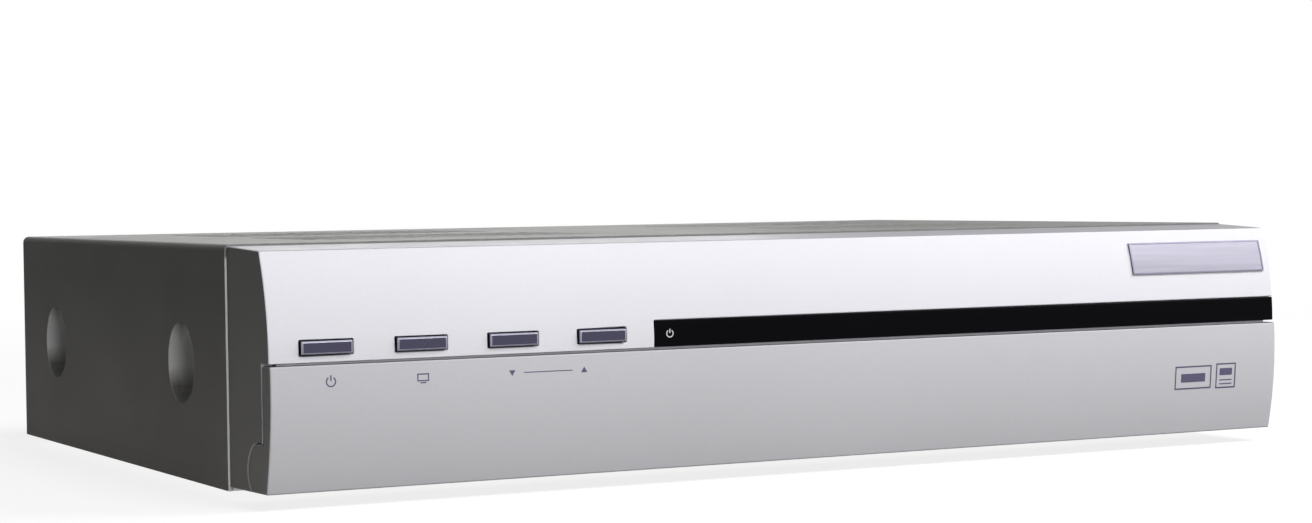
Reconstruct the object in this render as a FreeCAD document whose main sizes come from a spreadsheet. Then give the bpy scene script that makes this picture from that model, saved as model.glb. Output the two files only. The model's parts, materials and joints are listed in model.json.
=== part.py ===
import FreeCAD, Part
import os
import re
import sys

import Sketcher
from FreeCAD import Rotation, Vector

# A set-top satellite receiver as a parametric document, in millimetres. +X is to the right
# seen from the front, +Y to the rear, +Z up. The origin is at the middle of the footprint, at
# the undersides of the feet. Depths are counted rearwards from the seam where the top cover
# meets the front bezel, reaches forwards from it, and heights from the underside of the case.

SIZES = (
    # the case
    ("case_width", 280, "top cover, side to side"),
    ("case_height", 54.5, "top cover, underside to top"),
    ("cover_depth", 168.5, "top cover, seam to rear edge"),
    ("cover_sheet", 1.0, "thickness of the cover's sheet steel"),
    ("cover_bend", 1.6, "outer bend radius of the cover"),
    ("foot_height", 2.5, "rubber foot below the case"),
    ("foot_radius", 7, "rubber foot"),
    ("foot_inset_side", 32, "foot's centre from the side of the case"),
    ("foot_inset_end", 24, "foot's centre from the seam and from the rear edge"),
    ("dish_radius", 9.5, "pressed dish in the cover's side, at its rim"),
    ("dish_depth", 4.4, "pressed dish"),
    ("dish_inset", 31.7, "dish's centre from the seam and from the rear edge"),
    ("dish_height", 26.8, "dish's centre above the underside"),
    ("vent_width", 2.4, "ventilation slot in the top"),
    ("vent_length", 46, "ventilation slot in the top"),
    ("vent_pitch", 5.2, "from slot to slot"),
    ("vent_columns", 15, "slots in a row of one group"),
    ("vent_edge", 34, "outermost slot from the side of the case"),
    ("vent_front", 32, "front ends of the slots behind the seam"),
    ("vent_row_pitch", 63, "from the front row to the rear row"),
    ("lip_height", 7, "cover's lip turned down over the rear wall"),
    ("lip_screw_inset", 20, "screws of the lip from the side of the case"),
    # the chassis
    ("chassis_sheet", 1.0, "thickness of the chassis's sheet steel"),
    ("cover_gap", 0.3, "between the chassis and the inside of the cover"),
    ("flange_height", 9, "side flange of the chassis"),
    ("chassis_front", 0.5, "front edge of the base behind the seam"),
    # the bezel
    ("seam_drop", 0.4, "bezel's top edge at the seam below the cover's top"),
    ("brow_drop", 1.25, "top edge of the upper panel below the cover's top"),
    ("panel_reach", 22.3, "upper panel's furthest reach ahead of the seam"),
    ("panel_radius", 64, "convex radius of the upper panel"),
    ("panel_crown", 30, "height at which the upper panel stands upright"),
    ("panel_foot", 29.1, "lower edge of the upper panel"),
    ("bezel_foot", 0.9, "lower edge of the bezel and the flap"),
    ("bezel_wall", 2.2, "bezel's wall"),
    ("seam_inset", 0.4, "bezel's side inside the cover's, at the seam"),
    ("taper_inset", 1.33, "further inset of the bezel's side at the flap's face"),
    ("side_wall", 3.5, "bezel's end wall at the seam"),
    ("shelf_drop", 0.2, "top of the shelf below the panel's foot"),
    ("shelf_wall", 1.6, "shelf above the flap's bay"),
    ("shelf_back", 1.4, "front edge of the shelf behind the panel's face"),
    ("bay_reach", 8, "rear wall of the flap's bay ahead of the seam"),
    ("tab_length", 12, "bezel's tabs behind the seam"),
    ("tab_width", 16, "bezel's tabs"),
    ("tab_inset", 40, "outer tabs from the side of the case"),
    ("tab_gap", 0.1, "between the bezel's tabs and the sheet beside them"),
    ("catch_width", 8, "catch under a lower tab"),
    ("catch_length", 2.5, "catch under a lower tab"),
    ("catch_depth", 8, "catch behind the seam"),
    # the flap
    ("flap_proud", 0.9, "flap's face ahead of the upper panel's"),
    ("flap_radius", 88, "convex radius of the flap"),
    ("flap_crown", 23.5, "height at which the flap's face stands upright"),
    ("groove", 0.5, "groove between the flap and the upper panel"),
    ("flap_wall", 2.0, "flap's wall"),
    ("lip_wall", 1.6, "lip along the flap's lower edge"),
    ("pivot_back", 6.7, "flap's pivot behind its face"),
    ("pivot_height", 5.6, "flap's pivot"),
    ("ear_radius", 6.1, "flap's ear round the pivot"),
    ("ear_gap", 0.35, "round the ear"),
    ("skirt_depth", 4.1, "rear edge of the flap's end skirt behind its face"),
    ("skirt_gap", 0.7, "between the end skirt and the bezel's side"),
    ("pin_radius", 1.2, "flap's stub pin"),
    ("pin_length", 2.4, "flap's stub pin"),
    ("pin_play", 0.06, "radial clearance of the stub pin"),
    ("boss_wall", 1.2, "wall round the pin's hole"),
    ("cheek", 2.5, "thickness of the bezel's inner cheek"),
    ("end_gap", 0.3, "between the cheek and the flap's ear"),
    # the card reader behind the flap
    ("card_width", 54.6, "smart card's slot"),
    ("card_slot", 1.6, "smart card's slot"),
    ("card_depth", 46, "smart card's slot"),
    ("card_mouth", 1.5, "mouth in the bezel round the card's slot"),
    ("reader_width", 62, "card reader"),
    ("reader_height", 7, "card reader"),
    ("reader_length", 54, "card reader"),
    # the display window
    ("window_start", 13.6, "left end of the window from the middle of the last button"),
    ("window_height", 6.05, "display window"),
    ("window_thickness", 1.2, "window strip at its upper edge"),
    ("window_play", 0.1, "round the window strip"),
    ("window_ledge", 1.2, "ledge that the window lies on"),
    # the keys
    ("key_width", 11.8, "push button"),
    ("key_height", 2.9, "push button"),
    ("key_inset", 14.9, "middle of the first button from the side of the case"),
    ("key_pitch", 22.2, "from button to button"),
    ("key_rise", 3.2, "middle of the buttons above the panel's lower edge"),
    ("key_proud", 0.8, "button ahead of the upper panel"),
    ("key_gap", 0.35, "between a button and its hole"),
    ("key_rim", 0.35, "chamfer round a button's face"),
    ("key_flange", 1.0, "width and thickness of a button's flange"),
    ("key_stop", 0.3, "from the flange to the wall ahead of it"),
    ("stem", 2.6, "width of a button's stem and of its switch's plunger"),
    ("plunger_length", 2, "plunger"),
    ("plunger_proud", 1, "plunger ahead of its switch"),
    ("plunger_play", 0.1, "round the plunger in its switch"),
    ("switch_side", 6.2, "tact switch, across"),
    ("switch_depth", 3.5, "tact switch"),
    ("switch_well", 1.9, "plunger's well in its switch"),
    # the boards
    ("board", 1.6, "thickness of a printed circuit board"),
    ("board_inset", 6, "outer edges of the two inner boards from the side of the case"),
    ("board_gap", 10, "between the two inner boards"),
    ("board_rear", 2, "rear edges of the boards ahead of the rear wall"),
    ("board_margin", 4, "middle of a support from the edges of its board"),
    ("power_width", 54, "power board"),
    ("main_front", 18, "front edge of the main board behind the seam"),
    ("power_front", 34, "front edge of the power board behind the seam"),
    ("support_height", 6, "board above the chassis's base"),
    ("support_side", 6, "snap-in support below the board"),
    ("support_neck", 3, "snap-in support where it passes the board"),
    ("support_barb", 4.8, "barb of a snap-in support, across"),
    ("barb_height", 1.6, "barb of a snap-in support"),
    ("neck_play", 0.2, "round the neck of a support in its board"),
    ("screw_radius", 1.5, "screw's shank"),
    ("screw_length", 6, "cover screw's shank"),
    ("screw_head_radius", 2.8, "screw's head"),
    ("screw_head", 1.8, "height of a screw's head"),
    ("screw_play", 0.05, "radial clearance of a screw's shank"),
    ("hole_play", 0.3, "radial clearance of a hole that a screw passes"),
    ("display_reach", 9, "front board's face ahead of the seam"),
    ("display_inset", 10, "front board's ends from the side of the case"),
    ("display_drop", 4.6, "front board's top edge below the cover's top"),
    ("display_seat", 0.3, "front board above the shelf"),
    ("hook_inset", 26, "outer hooks of the front board from the side of the case"),
    ("hook_width", 5, "hook of the front board"),
    ("hook_depth", 1.2, "hook behind the front board"),
    ("hook_grip", 1.2, "hook over the front board's edge"),
    ("hook_gap", 0.1, "between a hook and the front board"),
    ("rib_depth", 4, "rib ahead of the front board"),
    ("digits_width", 30.2, "four-digit display"),
    ("digits_height", 10, "four-digit display"),
    ("digits_depth", 8, "four-digit display"),
    ("digits_inset", 104, "left end of the display from the right side of the case, less its width"),
    ("lamp_radius", 1.5, "standby lamp"),
    ("lamp_length", 6, "standby lamp"),
    ("lamp_start", 9, "standby lamp from the left end of the window"),
    ("eye_width", 6, "infrared receiver"),
    ("eye_height", 7, "infrared receiver"),
    ("eye_depth", 4, "infrared receiver"),
    ("eye_radius", 2.4, "lens of the infrared receiver"),
    ("eye_dome", 1.6, "lens of the infrared receiver ahead of its case"),
    ("eye_inset", 44, "infrared receiver from the right side of the case"),
    # the pieces on the main board, from its right edge and from the seam
    ("chip_side", 28, "decoder chip"),
    ("chip_height", 2.4, "decoder chip"),
    ("chip_inset", 100, "middle of the decoder chip"),
    ("chip_depth", 84, "middle of the decoder chip"),
    ("sink_side", 24, "decoder's heatsink"),
    ("sink_base", 2, "base of the heatsink"),
    ("sink_fin", 1.25, "heatsink's fin"),
    ("sink_fins", 6, "heatsink's fins"),
    ("sink_height", 9, "heatsink"),
    ("memory_length", 22.2, "memory chip"),
    ("memory_width", 10.2, "memory chip"),
    ("memory_height", 1.2, "memory chip"),
    ("memory_gap", 10, "between the decoder chip and the memory chips"),
    ("memory_spacing", 4, "between the two memory chips"),
    ("can_radius", 5, "electrolytic capacitor"),
    ("can_height", 16, "electrolytic capacitor"),
    ("can_gap", 4, "between capacitors"),
    # the pieces on the power board, from its left edge and from the seam
    ("coil_width", 26, "transformer"),
    ("coil_length", 24, "transformer"),
    ("coil_height", 21, "transformer"),
    ("coil_inset", 29, "middle of the transformer"),
    ("coil_depth", 88, "middle of the transformer"),
    ("plate_length", 36, "heatsink plate"),
    ("plate_height", 24, "heatsink plate"),
    ("plate_wall", 2, "heatsink plate"),
    ("plate_rib", 4, "rib of the heatsink plate"),
    ("plate_ribs", 6, "ribs of the heatsink plate"),
    ("plate_depth", 98, "front edge of the heatsink plate"),
    ("fuse_radius", 2.6, "mains fuse"),
    ("fuse_length", 20, "mains fuse"),
    ("fuse_height", 4.2, "middle of the mains fuse above its board"),
    ("fuse_clip", 3, "width of a fuse clip"),
    # the wiring
    ("strap", 1.0, "thickness of the ribbon and the harness"),
    ("strap_bend", 6, "inner bend radius of the ribbon and the harness"),
    ("ribbon_width", 13, "ribbon cable"),
    ("ribbon_inset", 72, "middle of the ribbon from the right side of the case"),
    ("harness_width", 14, "harness between the boards"),
    ("harness_depth", 51, "middle of the harness"),
    ("harness_height", 30, "top of the harness"),
    ("plug_long", 3, "socket beyond the width of its ribbon or harness"),
    ("plug_wide", 6, "width and height of a wire socket"),
    # the rear sockets, each beside the last from the right edge of the main board, and the two on
    # the power board from its left edge
    ("socket_gap", 0.4, "between a socket and its cut-out"),
    ("socket_seat", 0.2, "between a socket's body and the rear wall"),
    ("tuner_inset", 18, "middle of the tuner"),
    ("tuner_width", 34, "tuner can"),
    ("tuner_length", 72, "tuner can"),
    ("tuner_height", 17, "tuner can"),
    ("tuner_spacing", 17, "between the two F connectors"),
    ("f_radius", 4.75, "F connector's threaded barrel"),
    ("f_bore", 2.6, "F connector's mouth"),
    ("f_mouth", 3, "depth of the F connector's mouth"),
    ("f_reach", 10, "F connector behind the rear wall"),
    ("f_nut", 2, "F connector's hexagonal nut"),
    ("f_nut_radius", 6.4, "F connector's hexagonal nut, middle to corner"),
    ("serial_gap", 20, "between the tuner and the serial port"),
    ("serial_width", 31, "serial port's body"),
    ("serial_depth", 11, "serial port's body"),
    ("serial_rise", 2.5, "serial port's shell above its board"),
    ("serial_shell", 16.6, "width of the serial port's shell"),
    ("serial_shell_height", 8.2, "height of the serial port's shell"),
    ("serial_slant", 0.8, "lean of each side of the serial port's shell"),
    ("serial_wall", 0.8, "serial port's shell"),
    ("serial_reach", 6, "serial port's shell behind the rear wall"),
    ("serial_posts", 25, "between the serial port's posts"),
    ("post_radius", 2.7, "serial port's hexagonal post, middle to corner"),
    ("post_length", 5, "serial port's post"),
    ("scart_gap", 14, "between the serial port and the double SCART socket"),
    ("scart_width", 47, "SCART socket's body"),
    ("scart_depth", 17, "SCART socket's body"),
    ("scart_height", 35, "double SCART socket"),
    ("scart_pitch", 17, "from the lower socket to the upper one"),
    ("scart_shell", 42, "width of a SCART shell"),
    ("scart_shell_height", 14, "height of a SCART shell"),
    ("scart_slot", 1.4, "slot inside the edge of a SCART shell"),
    ("scart_slot_depth", 6, "slot inside the edge of a SCART shell"),
    ("scart_contact", 1.2, "width of a SCART contact's hole"),
    ("scart_contacts", 10, "contacts in a row"),
    ("scart_contact_pitch", 3.3, "from contact to contact"),
    ("scart_reach", 1.2, "SCART shell behind the rear wall"),
    ("phono_gap", 10, "between the double SCART socket and the phono block"),
    ("phono_pitch", 14.5, "from jack to jack"),
    ("phono_depth", 12, "phono block"),
    ("phono_edge", 1, "window in the rear wall inside the edge of the phono block"),
    ("phono_radius", 4.15, "phono jack's barrel"),
    ("phono_bore", 1.7, "phono jack's bore"),
    ("phono_bore_depth", 6, "phono jack's bore"),
    ("phono_reach", 9, "phono jack behind the rear wall"),
    ("phono_ring", 5.6, "coloured ring of a phono jack"),
    ("phono_ring_length", 3.2, "coloured ring of a phono jack"),
    ("inlet_inset", 14, "middle of the mains inlet"),
    ("inlet_width", 20, "mains inlet's nose"),
    ("inlet_height", 13, "mains inlet's nose"),
    ("inlet_rise", 1.5, "mains inlet's nose above its board, and its rim"),
    ("inlet_reach", 1.5, "mains inlet's nose behind the rear wall"),
    ("inlet_depth", 13, "mains inlet's cavity"),
    ("inlet_back", 4, "mains inlet behind its cavity"),
    ("inlet_pins", 8.6, "between the mains inlet's pins"),
    ("inlet_lobe", 3.9, "radius of a lobe of the inlet's cavity"),
    ("inlet_waist", 2.4, "width of the waist between the two lobes"),
    ("inlet_pin", 1.2, "radius of a mains pin"),
    ("inlet_pin_back", 2, "mains pin's end inside the mouth"),
    ("rocker_inset", 40, "middle of the rocker switch"),
    ("rocker_level", 26, "middle of the rocker switch"),
    ("rocker_width", 9, "rocker"),
    ("rocker_radius", 7.6, "rocker's round underside"),
    ("rocker_crest", 6.2, "rocker's ends from its middle"),
    ("rocker_dip", 2.6, "middle of the rocker's face from its pivot"),
    ("rocker_gap", 0.4, "between the rocker and its housing"),
    ("rocker_tilt", 12, "tilt of the rocker at rest, degrees"),
    ("rocker_sink", 1, "rocker's pivot inside the rear wall"),
    ("housing_wall", 1.3, "switch housing's wall"),
    ("housing_depth", 11, "switch housing inside the rear wall"),
    ("housing_rim", 1.0, "switch housing's rim beyond its cut-out"),
    ("housing_proud", 1.5, "switch housing's rim behind the rear wall"),
)

# Places that follow from the sizes, as expressions.
HALF = "(case_width / 2)"
FLAP_REACH = "(panel_reach + flap_proud)"
REAR_WALL = "(cover_depth - cover_sheet)"
SEAM = f"(({FLAP_REACH} - {REAR_WALL} - f_reach) / 2)"
INNER_HALF = "(case_width / 2 - cover_sheet - cover_gap)"
BEZEL_HALF = "(case_width / 2 - seam_inset)"
CHEEK_OUTSIDE = "(case_width / 2 - seam_inset - side_wall)"
EAR_INSIDE = f"({CHEEK_OUTSIDE} + end_gap)"
SEAM_TOP = "(case_height - seam_drop)"
BROW = "(case_height - brow_drop)"
SHELF_TOP = "(panel_foot - shelf_drop)"
FLAP_TOP = "(panel_foot - groove)"
PIVOT_REACH = f"({FLAP_REACH} - pivot_back)"
SKIRT_REACH = f"({FLAP_REACH} - skirt_depth)"
WINDOW_TOP = "(panel_foot + window_play + window_height)"
KEY_LEVEL = "(panel_foot + key_rise)"
BOARD_TOP = "(chassis_sheet + support_height + board)"
DISPLAY_LOW = f"({SHELF_TOP} + display_seat)"
DISPLAY_TOP = "(case_height - display_drop)"
DISPLAY_HALF = "(case_width / 2 - display_inset)"
POWER_LEFT = f"(-{HALF} + board_inset)"
POWER_RIGHT = f"({POWER_LEFT} + power_width)"
MAIN_LEFT = f"({POWER_RIGHT} + board_gap)"
MAIN_RIGHT = f"({HALF} - board_inset)"
SOCKET_FRONT = f"({REAR_WALL} - chassis_sheet - socket_seat)"

doc = FreeCAD.newDocument("satellite_receiver")
sheet = doc.addObject("Spreadsheet::Sheet", "Sizes")
for row, (alias, number, note) in enumerate(SIZES, 1):
    sheet.set(f"A{row}", alias)
    sheet.set(f"B{row}", str(number))
    sheet.set(f"C{row}", note)
    sheet.setAlias(f"B{row}", alias)
doc.recompute()

pieces = []


# ---- expressions -----------------------------------------------------------------------------

def bound(text):
    """Points each size named in an expression at its cell."""
    return re.sub(r"\b[a-z]\w*\b(?!\()", lambda name: "Sizes." + name.group(), str(text))


def value(text):
    """What an expression comes to now."""
    return float(sheet.evalExpression(bound(text)))


def behind(depth):
    """Y of a depth behind the seam."""
    return f"({SEAM} + {depth})"


def ahead(reach):
    """Y of a reach ahead of the seam."""
    return f"({SEAM} - ({reach}))"


def up(height):
    """Z of a height above the underside of the case."""
    return f"(foot_height + {height})"


def face_at(height, reach, radius, crown, inset):
    """Reach, at some height, of a convex face or of a face inset behind it."""
    return f"({reach} - {radius} + sqrt(({radius} - {inset})^2 - ({height} - {crown})^2))"


def panel_at(height, inset="0"):
    return face_at(height, "panel_reach", "panel_radius", "panel_crown", inset)


def flap_at(height, inset="0"):
    return face_at(height, FLAP_REACH, "flap_radius", "flap_crown", inset)


# ---- sketches and bodies ---------------------------------------------------------------------

def body(label):
    return doc.addObject("PartDesign::Body", label)


def rectangle(left, low, right, high):
    return [(left, low), (right, low), (right, high), (left, high)]


def box_round(across, along, width, height):
    """A rectangle round its middle."""
    return rectangle(f"{across} - {width} / 2", f"{along} - {height} / 2",
                     f"{across} + {width} / 2", f"{along} + {height} / 2")


def circle(across, along, radius):
    return (across, along, radius)


def bind(drawn, entries):
    """Adds constraints given as (kind, places, expression) and binds each to its expression."""
    made = [Sketcher.Constraint(kind, *places, value(text)) for kind, places, text in entries]
    for index, (kind, places, text) in zip(drawn.addConstraint(made), entries):
        drawn.setExpression(f"Constraints[{index}]", bound(text))


def draw_circle(drawn, across, along, radius):
    centre = Vector(value(across), value(along), 0)
    edge = drawn.addGeometry(Part.Circle(centre, Vector(0, 0, 1), value(radius)), False)
    bind(drawn, [
        ("DistanceX", (-1, 1, edge, 3), across),
        ("DistanceY", (-1, 1, edge, 3), along),
        ("Radius", (edge,), radius),
    ])


def arc_between(start, end, radius, outwards):
    """An arc under half a turn. Going round the outline anticlockwise, it bulges out or in."""
    chord = end - start
    rise = (radius ** 2 - (chord.Length / 2) ** 2) ** 0.5
    inwards = Vector(-chord.y, chord.x, 0) / chord.Length
    centre = (start + end) / 2 + inwards * (rise if outwards else -rise)
    ring = Part.Circle(centre, Vector(0, 0, 1), radius)
    first, last = (start, end) if outwards else (end, start)
    return Part.ArcOfCircle(ring, ring.parameter(first), ring.parameter(last))


def draw_outline(drawn, points):
    """Draws a closed outline anticlockwise. A point is (x, y), or (x, y, radius, side) where the
    edge to the next point is an arc that bulges "out" of the outline or "in"."""
    spots = [Vector(value(point[0]), value(point[1]), 0) for point in points]
    edges = []
    for point, start, end in zip(points, spots, spots[1:] + spots[:1]):
        outwards = len(point) == 2 or point[3] == "out"
        shape = Part.LineSegment(start, end)
        if len(point) > 2:
            shape = arc_between(start, end, value(point[2]), outwards)
        ends = (1, 2) if outwards else (2, 1)
        edges.append((drawn.addGeometry(shape, False), *ends))
    drawn.addConstraint([
        Sketcher.Constraint("Coincident", edge[0], edge[2], after[0], after[1])
        for edge, after in zip(edges, edges[1:] + edges[:1])
    ])
    entries = []
    for point, (edge, start, end) in zip(points, edges):
        entries.append(("DistanceX", (-1, 1, edge, start), point[0]))
        entries.append(("DistanceY", (-1, 1, edge, start), point[1]))
        if len(point) > 2:
            entries.append(("Radius", (edge,), point[2]))
    bind(drawn, entries)


def sketch(made, role, loops, offset="0"):
    """A sketch of circles and outlines on one of a body's origin planes, offset along its
    normal: YZ_Plane looks along -X, XY_Plane along -Z and XZ_Plane along +Y."""
    drawn = made.newObject("Sketcher::SketchObject", f"{made.Name}_sketch")
    plane = next(part for part in made.Origin.OriginFeatures if part.Role == role)
    drawn.AttachmentSupport = [(plane, "")]
    drawn.MapMode = "FlatFace"
    drawn.setExpression("AttachmentOffset.Base.z", bound(offset))
    for loop in loops:
        if isinstance(loop, tuple):
            draw_circle(drawn, *loop)
        else:
            draw_outline(drawn, loop)
    return drawn


def front_sketch(made, loops, depth):
    """A sketch in a plane across Y, with X to the right and Z up."""
    return sketch(made, "XZ_Plane", loops, f"-({depth})")


def pad(made, drawn, length, midplane=False, backwards=False):
    """Adds material along the sketch's normal, to both sides of it, or against it."""
    feature = made.newObject("PartDesign::Pad", f"{made.Name}_pad")
    feature.Profile = drawn
    feature.Midplane = midplane
    feature.Reversed = backwards
    feature.setExpression("Length", bound(length))
    made.Tip = feature
    return feature


def pocket(made, drawn, length, midplane=False, forwards=False):
    """Removes material against the sketch's normal, to both sides of it, or along it."""
    feature = made.newObject("PartDesign::Pocket", f"{made.Name}_pocket")
    feature.Profile = drawn
    feature.Midplane = midplane
    feature.Reversed = forwards
    feature.setExpression("Length", bound(length))
    made.Tip = feature
    return feature


def pad_ends(made, loops, inside, thickness):
    """The same pad at both ends of a wide piece, from an inner X outwards."""
    pad(made, sketch(made, "YZ_Plane", loops, inside), thickness)
    pad(made, sketch(made, "YZ_Plane", loops, f"-({inside})"), thickness, backwards=True)


def pocket_ends(made, loops, inside, thickness):
    """The same pocket at both ends of a wide piece, from an inner X outwards."""
    pocket(made, sketch(made, "YZ_Plane", loops, inside), thickness, forwards=True)
    pocket(made, sketch(made, "YZ_Plane", loops, f"-({inside})"), thickness)


# ---- primitives and booleans -----------------------------------------------------------------

TURNS = {
    "up": Rotation(),
    "rear": Rotation(Vector(1, 0, 0), -90),
    "front": Rotation(Vector(1, 0, 0), 90),
    "right": Rotation(Vector(0, 1, 0), 90),
}


def place_at(made, spot, heading="up"):
    made.Placement.Rotation = TURNS[heading]
    for axis, text in zip("xyz", spot):
        made.setExpression(f"Placement.Base.{axis}", bound(text))
    return made


def block(name, spot, size):
    """A box from its lowest corner. A size is along X, Y and Z."""
    made = doc.addObject("Part::Box", name)
    for side, text in zip(("Length", "Width", "Height"), size):
        made.setExpression(side, bound(text))
    return place_at(made, spot)


def seated(name, middle, depth, level, size):
    """A box from the middle of its lower front edge."""
    return block(name, (f"{middle} - {size[0]} / 2", behind(depth), up(level)), size)


def rod(name, spot, radius, length, heading="up"):
    """A cylinder from the middle of its foot."""
    made = doc.addObject("Part::Cylinder", name)
    made.setExpression("Radius", bound(radius))
    made.setExpression("Height", bound(length))
    return place_at(made, spot, heading)


def hex_rod(name, spot, radius, length):
    """A hexagonal prism that runs rearwards from the middle of its foot."""
    made = doc.addObject("Part::Prism", name)
    made.Polygon = 6
    made.setExpression("Circumradius", bound(radius))
    made.setExpression("Height", bound(length))
    return place_at(made, spot, "rear")


def ball(name, middle, radius):
    made = doc.addObject("Part::Sphere", name)
    made.setExpression("Radius", bound(radius))
    return place_at(made, middle)


def join(name, parts):
    made = doc.addObject("Part::MultiFuse", name)
    made.Shapes = parts
    return made


def gather(name, parts):
    """Separate solids in one piece."""
    made = doc.addObject("Part::Compound", name)
    made.Links = parts
    return made


def cut(name, base, tools):
    made = doc.addObject("Part::Cut", name)
    made.Base = base
    made.Tool = tools[0] if len(tools) == 1 else join(f"{name}_tools", tools)
    return made


def keep(label, made):
    """Names a finished piece and lists it for export."""
    made.Label = label
    pieces.append(made)


# ---- the case --------------------------------------------------------------------------------

LIP_LEVEL = up("case_height - (lip_height + cover_sheet) / 2")
LIP_SCREWS = (f"(-{HALF} + lip_screw_inset)", f"({HALF} - lip_screw_inset)")


def top_cover():
    """A folded sheet: top, two sides and a lip turned down at the rear, notched for its screws.
    A dish is pressed in near each end of both sides, and rows of slots let warm air out."""
    made = body("cover_sheet_metal")
    inner = f"({HALF} - cover_sheet)"
    fold = "(cover_bend - cover_sheet)"
    floor, top, ceiling = up("0"), up("case_height"), up("case_height - cover_sheet")
    section = [
        (f"-{HALF}", floor),
        (f"-{inner}", floor),
        (f"-{inner}", f"{ceiling} - {fold}", fold, "in"),
        (f"-{inner} + {fold}", ceiling),
        (f"{inner} - {fold}", ceiling, fold, "in"),
        (inner, f"{ceiling} - {fold}"),
        (inner, floor),
        (HALF, floor),
        (HALF, f"{top} - cover_bend", "cover_bend", "out"),
        (f"{HALF} - cover_bend", top),
        (f"-{HALF} + cover_bend", top, "cover_bend", "out"),
        (f"-{HALF}", f"{top} - cover_bend"),
    ]
    pad(made, front_sketch(made, [section], SEAM), "cover_depth", backwards=True)
    lip = rectangle(f"-{inner} + cover_bend", up("case_height - lip_height"),
                    f"{inner} - cover_bend", up("case_height - cover_sheet / 2"))
    rear = behind("cover_depth")
    pad(made, front_sketch(made, [lip], rear), "cover_sheet")
    width = "(screw_radius + hole_play)"
    notches = [rectangle(f"{x} - {width}", up("case_height - 2 * lip_height"), f"{x} + {width}",
                         f"{LIP_LEVEL} + {width}") for x in LIP_SCREWS]
    pocket(made, front_sketch(made, notches, rear), "3 * cover_sheet", midplane=True)

    first, span = f"({HALF} - vent_edge)", "(vent_columns - 1) * vent_pitch"
    ends = behind("vent_front"), behind("(vent_front + vent_length)")
    slots = [rectangle(x, ends[0], f"{x} + vent_width", ends[1])
             for x in (f"-{first} - vent_width / 2", f"{first} - {span} - vent_width / 2")]
    seeds = sketch(made, "XY_Plane", slots, top)
    vents = pocket(made, seeds, "2 * cover_sheet")
    rows = made.newObject("PartDesign::LinearPattern", "cover_vents")
    rows.Originals = [vents]
    rows.Direction = (seeds, ["H_Axis"])
    rows.setExpression("Length", bound(span))
    rows.setExpression("Occurrences", bound("vent_columns"))
    rows.Direction2 = (seeds, ["V_Axis"])
    rows.setExpression("Length2", bound("vent_row_pitch"))
    rows.Occurrences2 = 2
    made.Tip = rows

    sphere = "((dish_radius^2 + dish_depth^2) / (2 * dish_depth))"
    reach = "(2 * dish_depth + 2 * cover_sheet)"
    swells, hollows = [], []
    for sign, low_x in (("-", f"-{HALF} + cover_sheet / 2"), ("", f"{HALF} - cover_sheet / 2 - {reach}")):
        for depth in ("dish_inset", "(cover_depth - dish_inset)"):
            name = f"dish_{len(swells)}"
            middle = (f"{sign}({HALF} + {sphere} - dish_depth)", behind(depth), up("dish_height"))
            trim = block(f"{name}_trim", (low_x, behind(f"{depth} - 2 * dish_radius"),
                                          up("dish_height - 2 * dish_radius")),
                         (reach, "4 * dish_radius", "4 * dish_radius"))
            cap = doc.addObject("Part::Common", f"{name}_cap")
            cap.Base = ball(f"{name}_swell", middle, f"{sphere} + cover_sheet")
            cap.Tool = trim
            swells.append(cap)
            hollows.append(ball(f"{name}_hollow", middle, sphere))
    pressed = join("cover_pressed", [made] + swells)
    keep("top_cover", cut("cover_piece", pressed, hollows))


def chassis():
    """A tray of sheet steel: base, rear wall with the sockets' cut-outs, and two side flanges."""
    made = body("chassis_sheet_metal")
    wall, inside = behind(REAR_WALL), behind(f"{REAR_WALL} - chassis_sheet")
    top = up("case_height - cover_sheet - cover_gap")
    section = [
        (behind("chassis_front"), up("0")),
        (wall, up("0")),
        (wall, top),
        (inside, top),
        (inside, up("chassis_sheet")),
        (behind("chassis_front"), up("chassis_sheet")),
    ]
    pad(made, sketch(made, "YZ_Plane", [section]), f"2 * {INNER_HALF}", midplane=True)
    flange = rectangle(behind("chassis_front"), up("0"), f"{inside} + chassis_sheet / 2",
                       up("flange_height"))
    pad_ends(made, [flange], f"{INNER_HALF} - chassis_sheet", "chassis_sheet")
    pocket(made, front_sketch(made, rear_cutouts(), wall), "3 * chassis_sheet", midplane=True)
    holes = [rectangle(f"{x} - catch_width / 2 - tab_gap", behind("(catch_depth - tab_gap)"),
                       f"{x} + catch_width / 2 + tab_gap", behind("(catch_depth + catch_length + tab_gap)"))
             for x in BEZEL_TABS]
    pocket(made, sketch(made, "XY_Plane", holes, up("chassis_sheet")), "2 * chassis_sheet")
    keep("chassis", made)


TUNER_X = f"({MAIN_RIGHT} - tuner_inset)"
TUNER_LEVEL = up(f"{BOARD_TOP} + tuner_height / 2")
TUNER_JACKS = (f"({TUNER_X} - tuner_spacing / 2)", f"({TUNER_X} + tuner_spacing / 2)")
SERIAL_X = f"({TUNER_X} - tuner_width / 2 - serial_gap - serial_width / 2)"
SERIAL_LEVEL = up(f"{BOARD_TOP} + serial_rise + serial_shell_height / 2")
SCART_X = f"({SERIAL_X} - serial_width / 2 - scart_gap - scart_width / 2)"
SCART_LEVELS = (up(f"{BOARD_TOP} + (scart_height - scart_pitch) / 2"),
                up(f"{BOARD_TOP} + (scart_height + scart_pitch) / 2"))
PHONO_X = f"({SCART_X} - scart_width / 2 - phono_gap - phono_pitch)"
JACKS = {
    "video": (PHONO_X, up(f"{BOARD_TOP} + 3 * phono_pitch / 2")),
    "right": (f"({PHONO_X} - phono_pitch / 2)", up(f"{BOARD_TOP} + phono_pitch / 2")),
    "left": (f"({PHONO_X} + phono_pitch / 2)", up(f"{BOARD_TOP} + phono_pitch / 2")),
}
INLET_X = f"({POWER_LEFT} + inlet_inset)"
INLET_LEVEL = up(f"{BOARD_TOP} + inlet_rise + inlet_height / 2")
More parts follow.
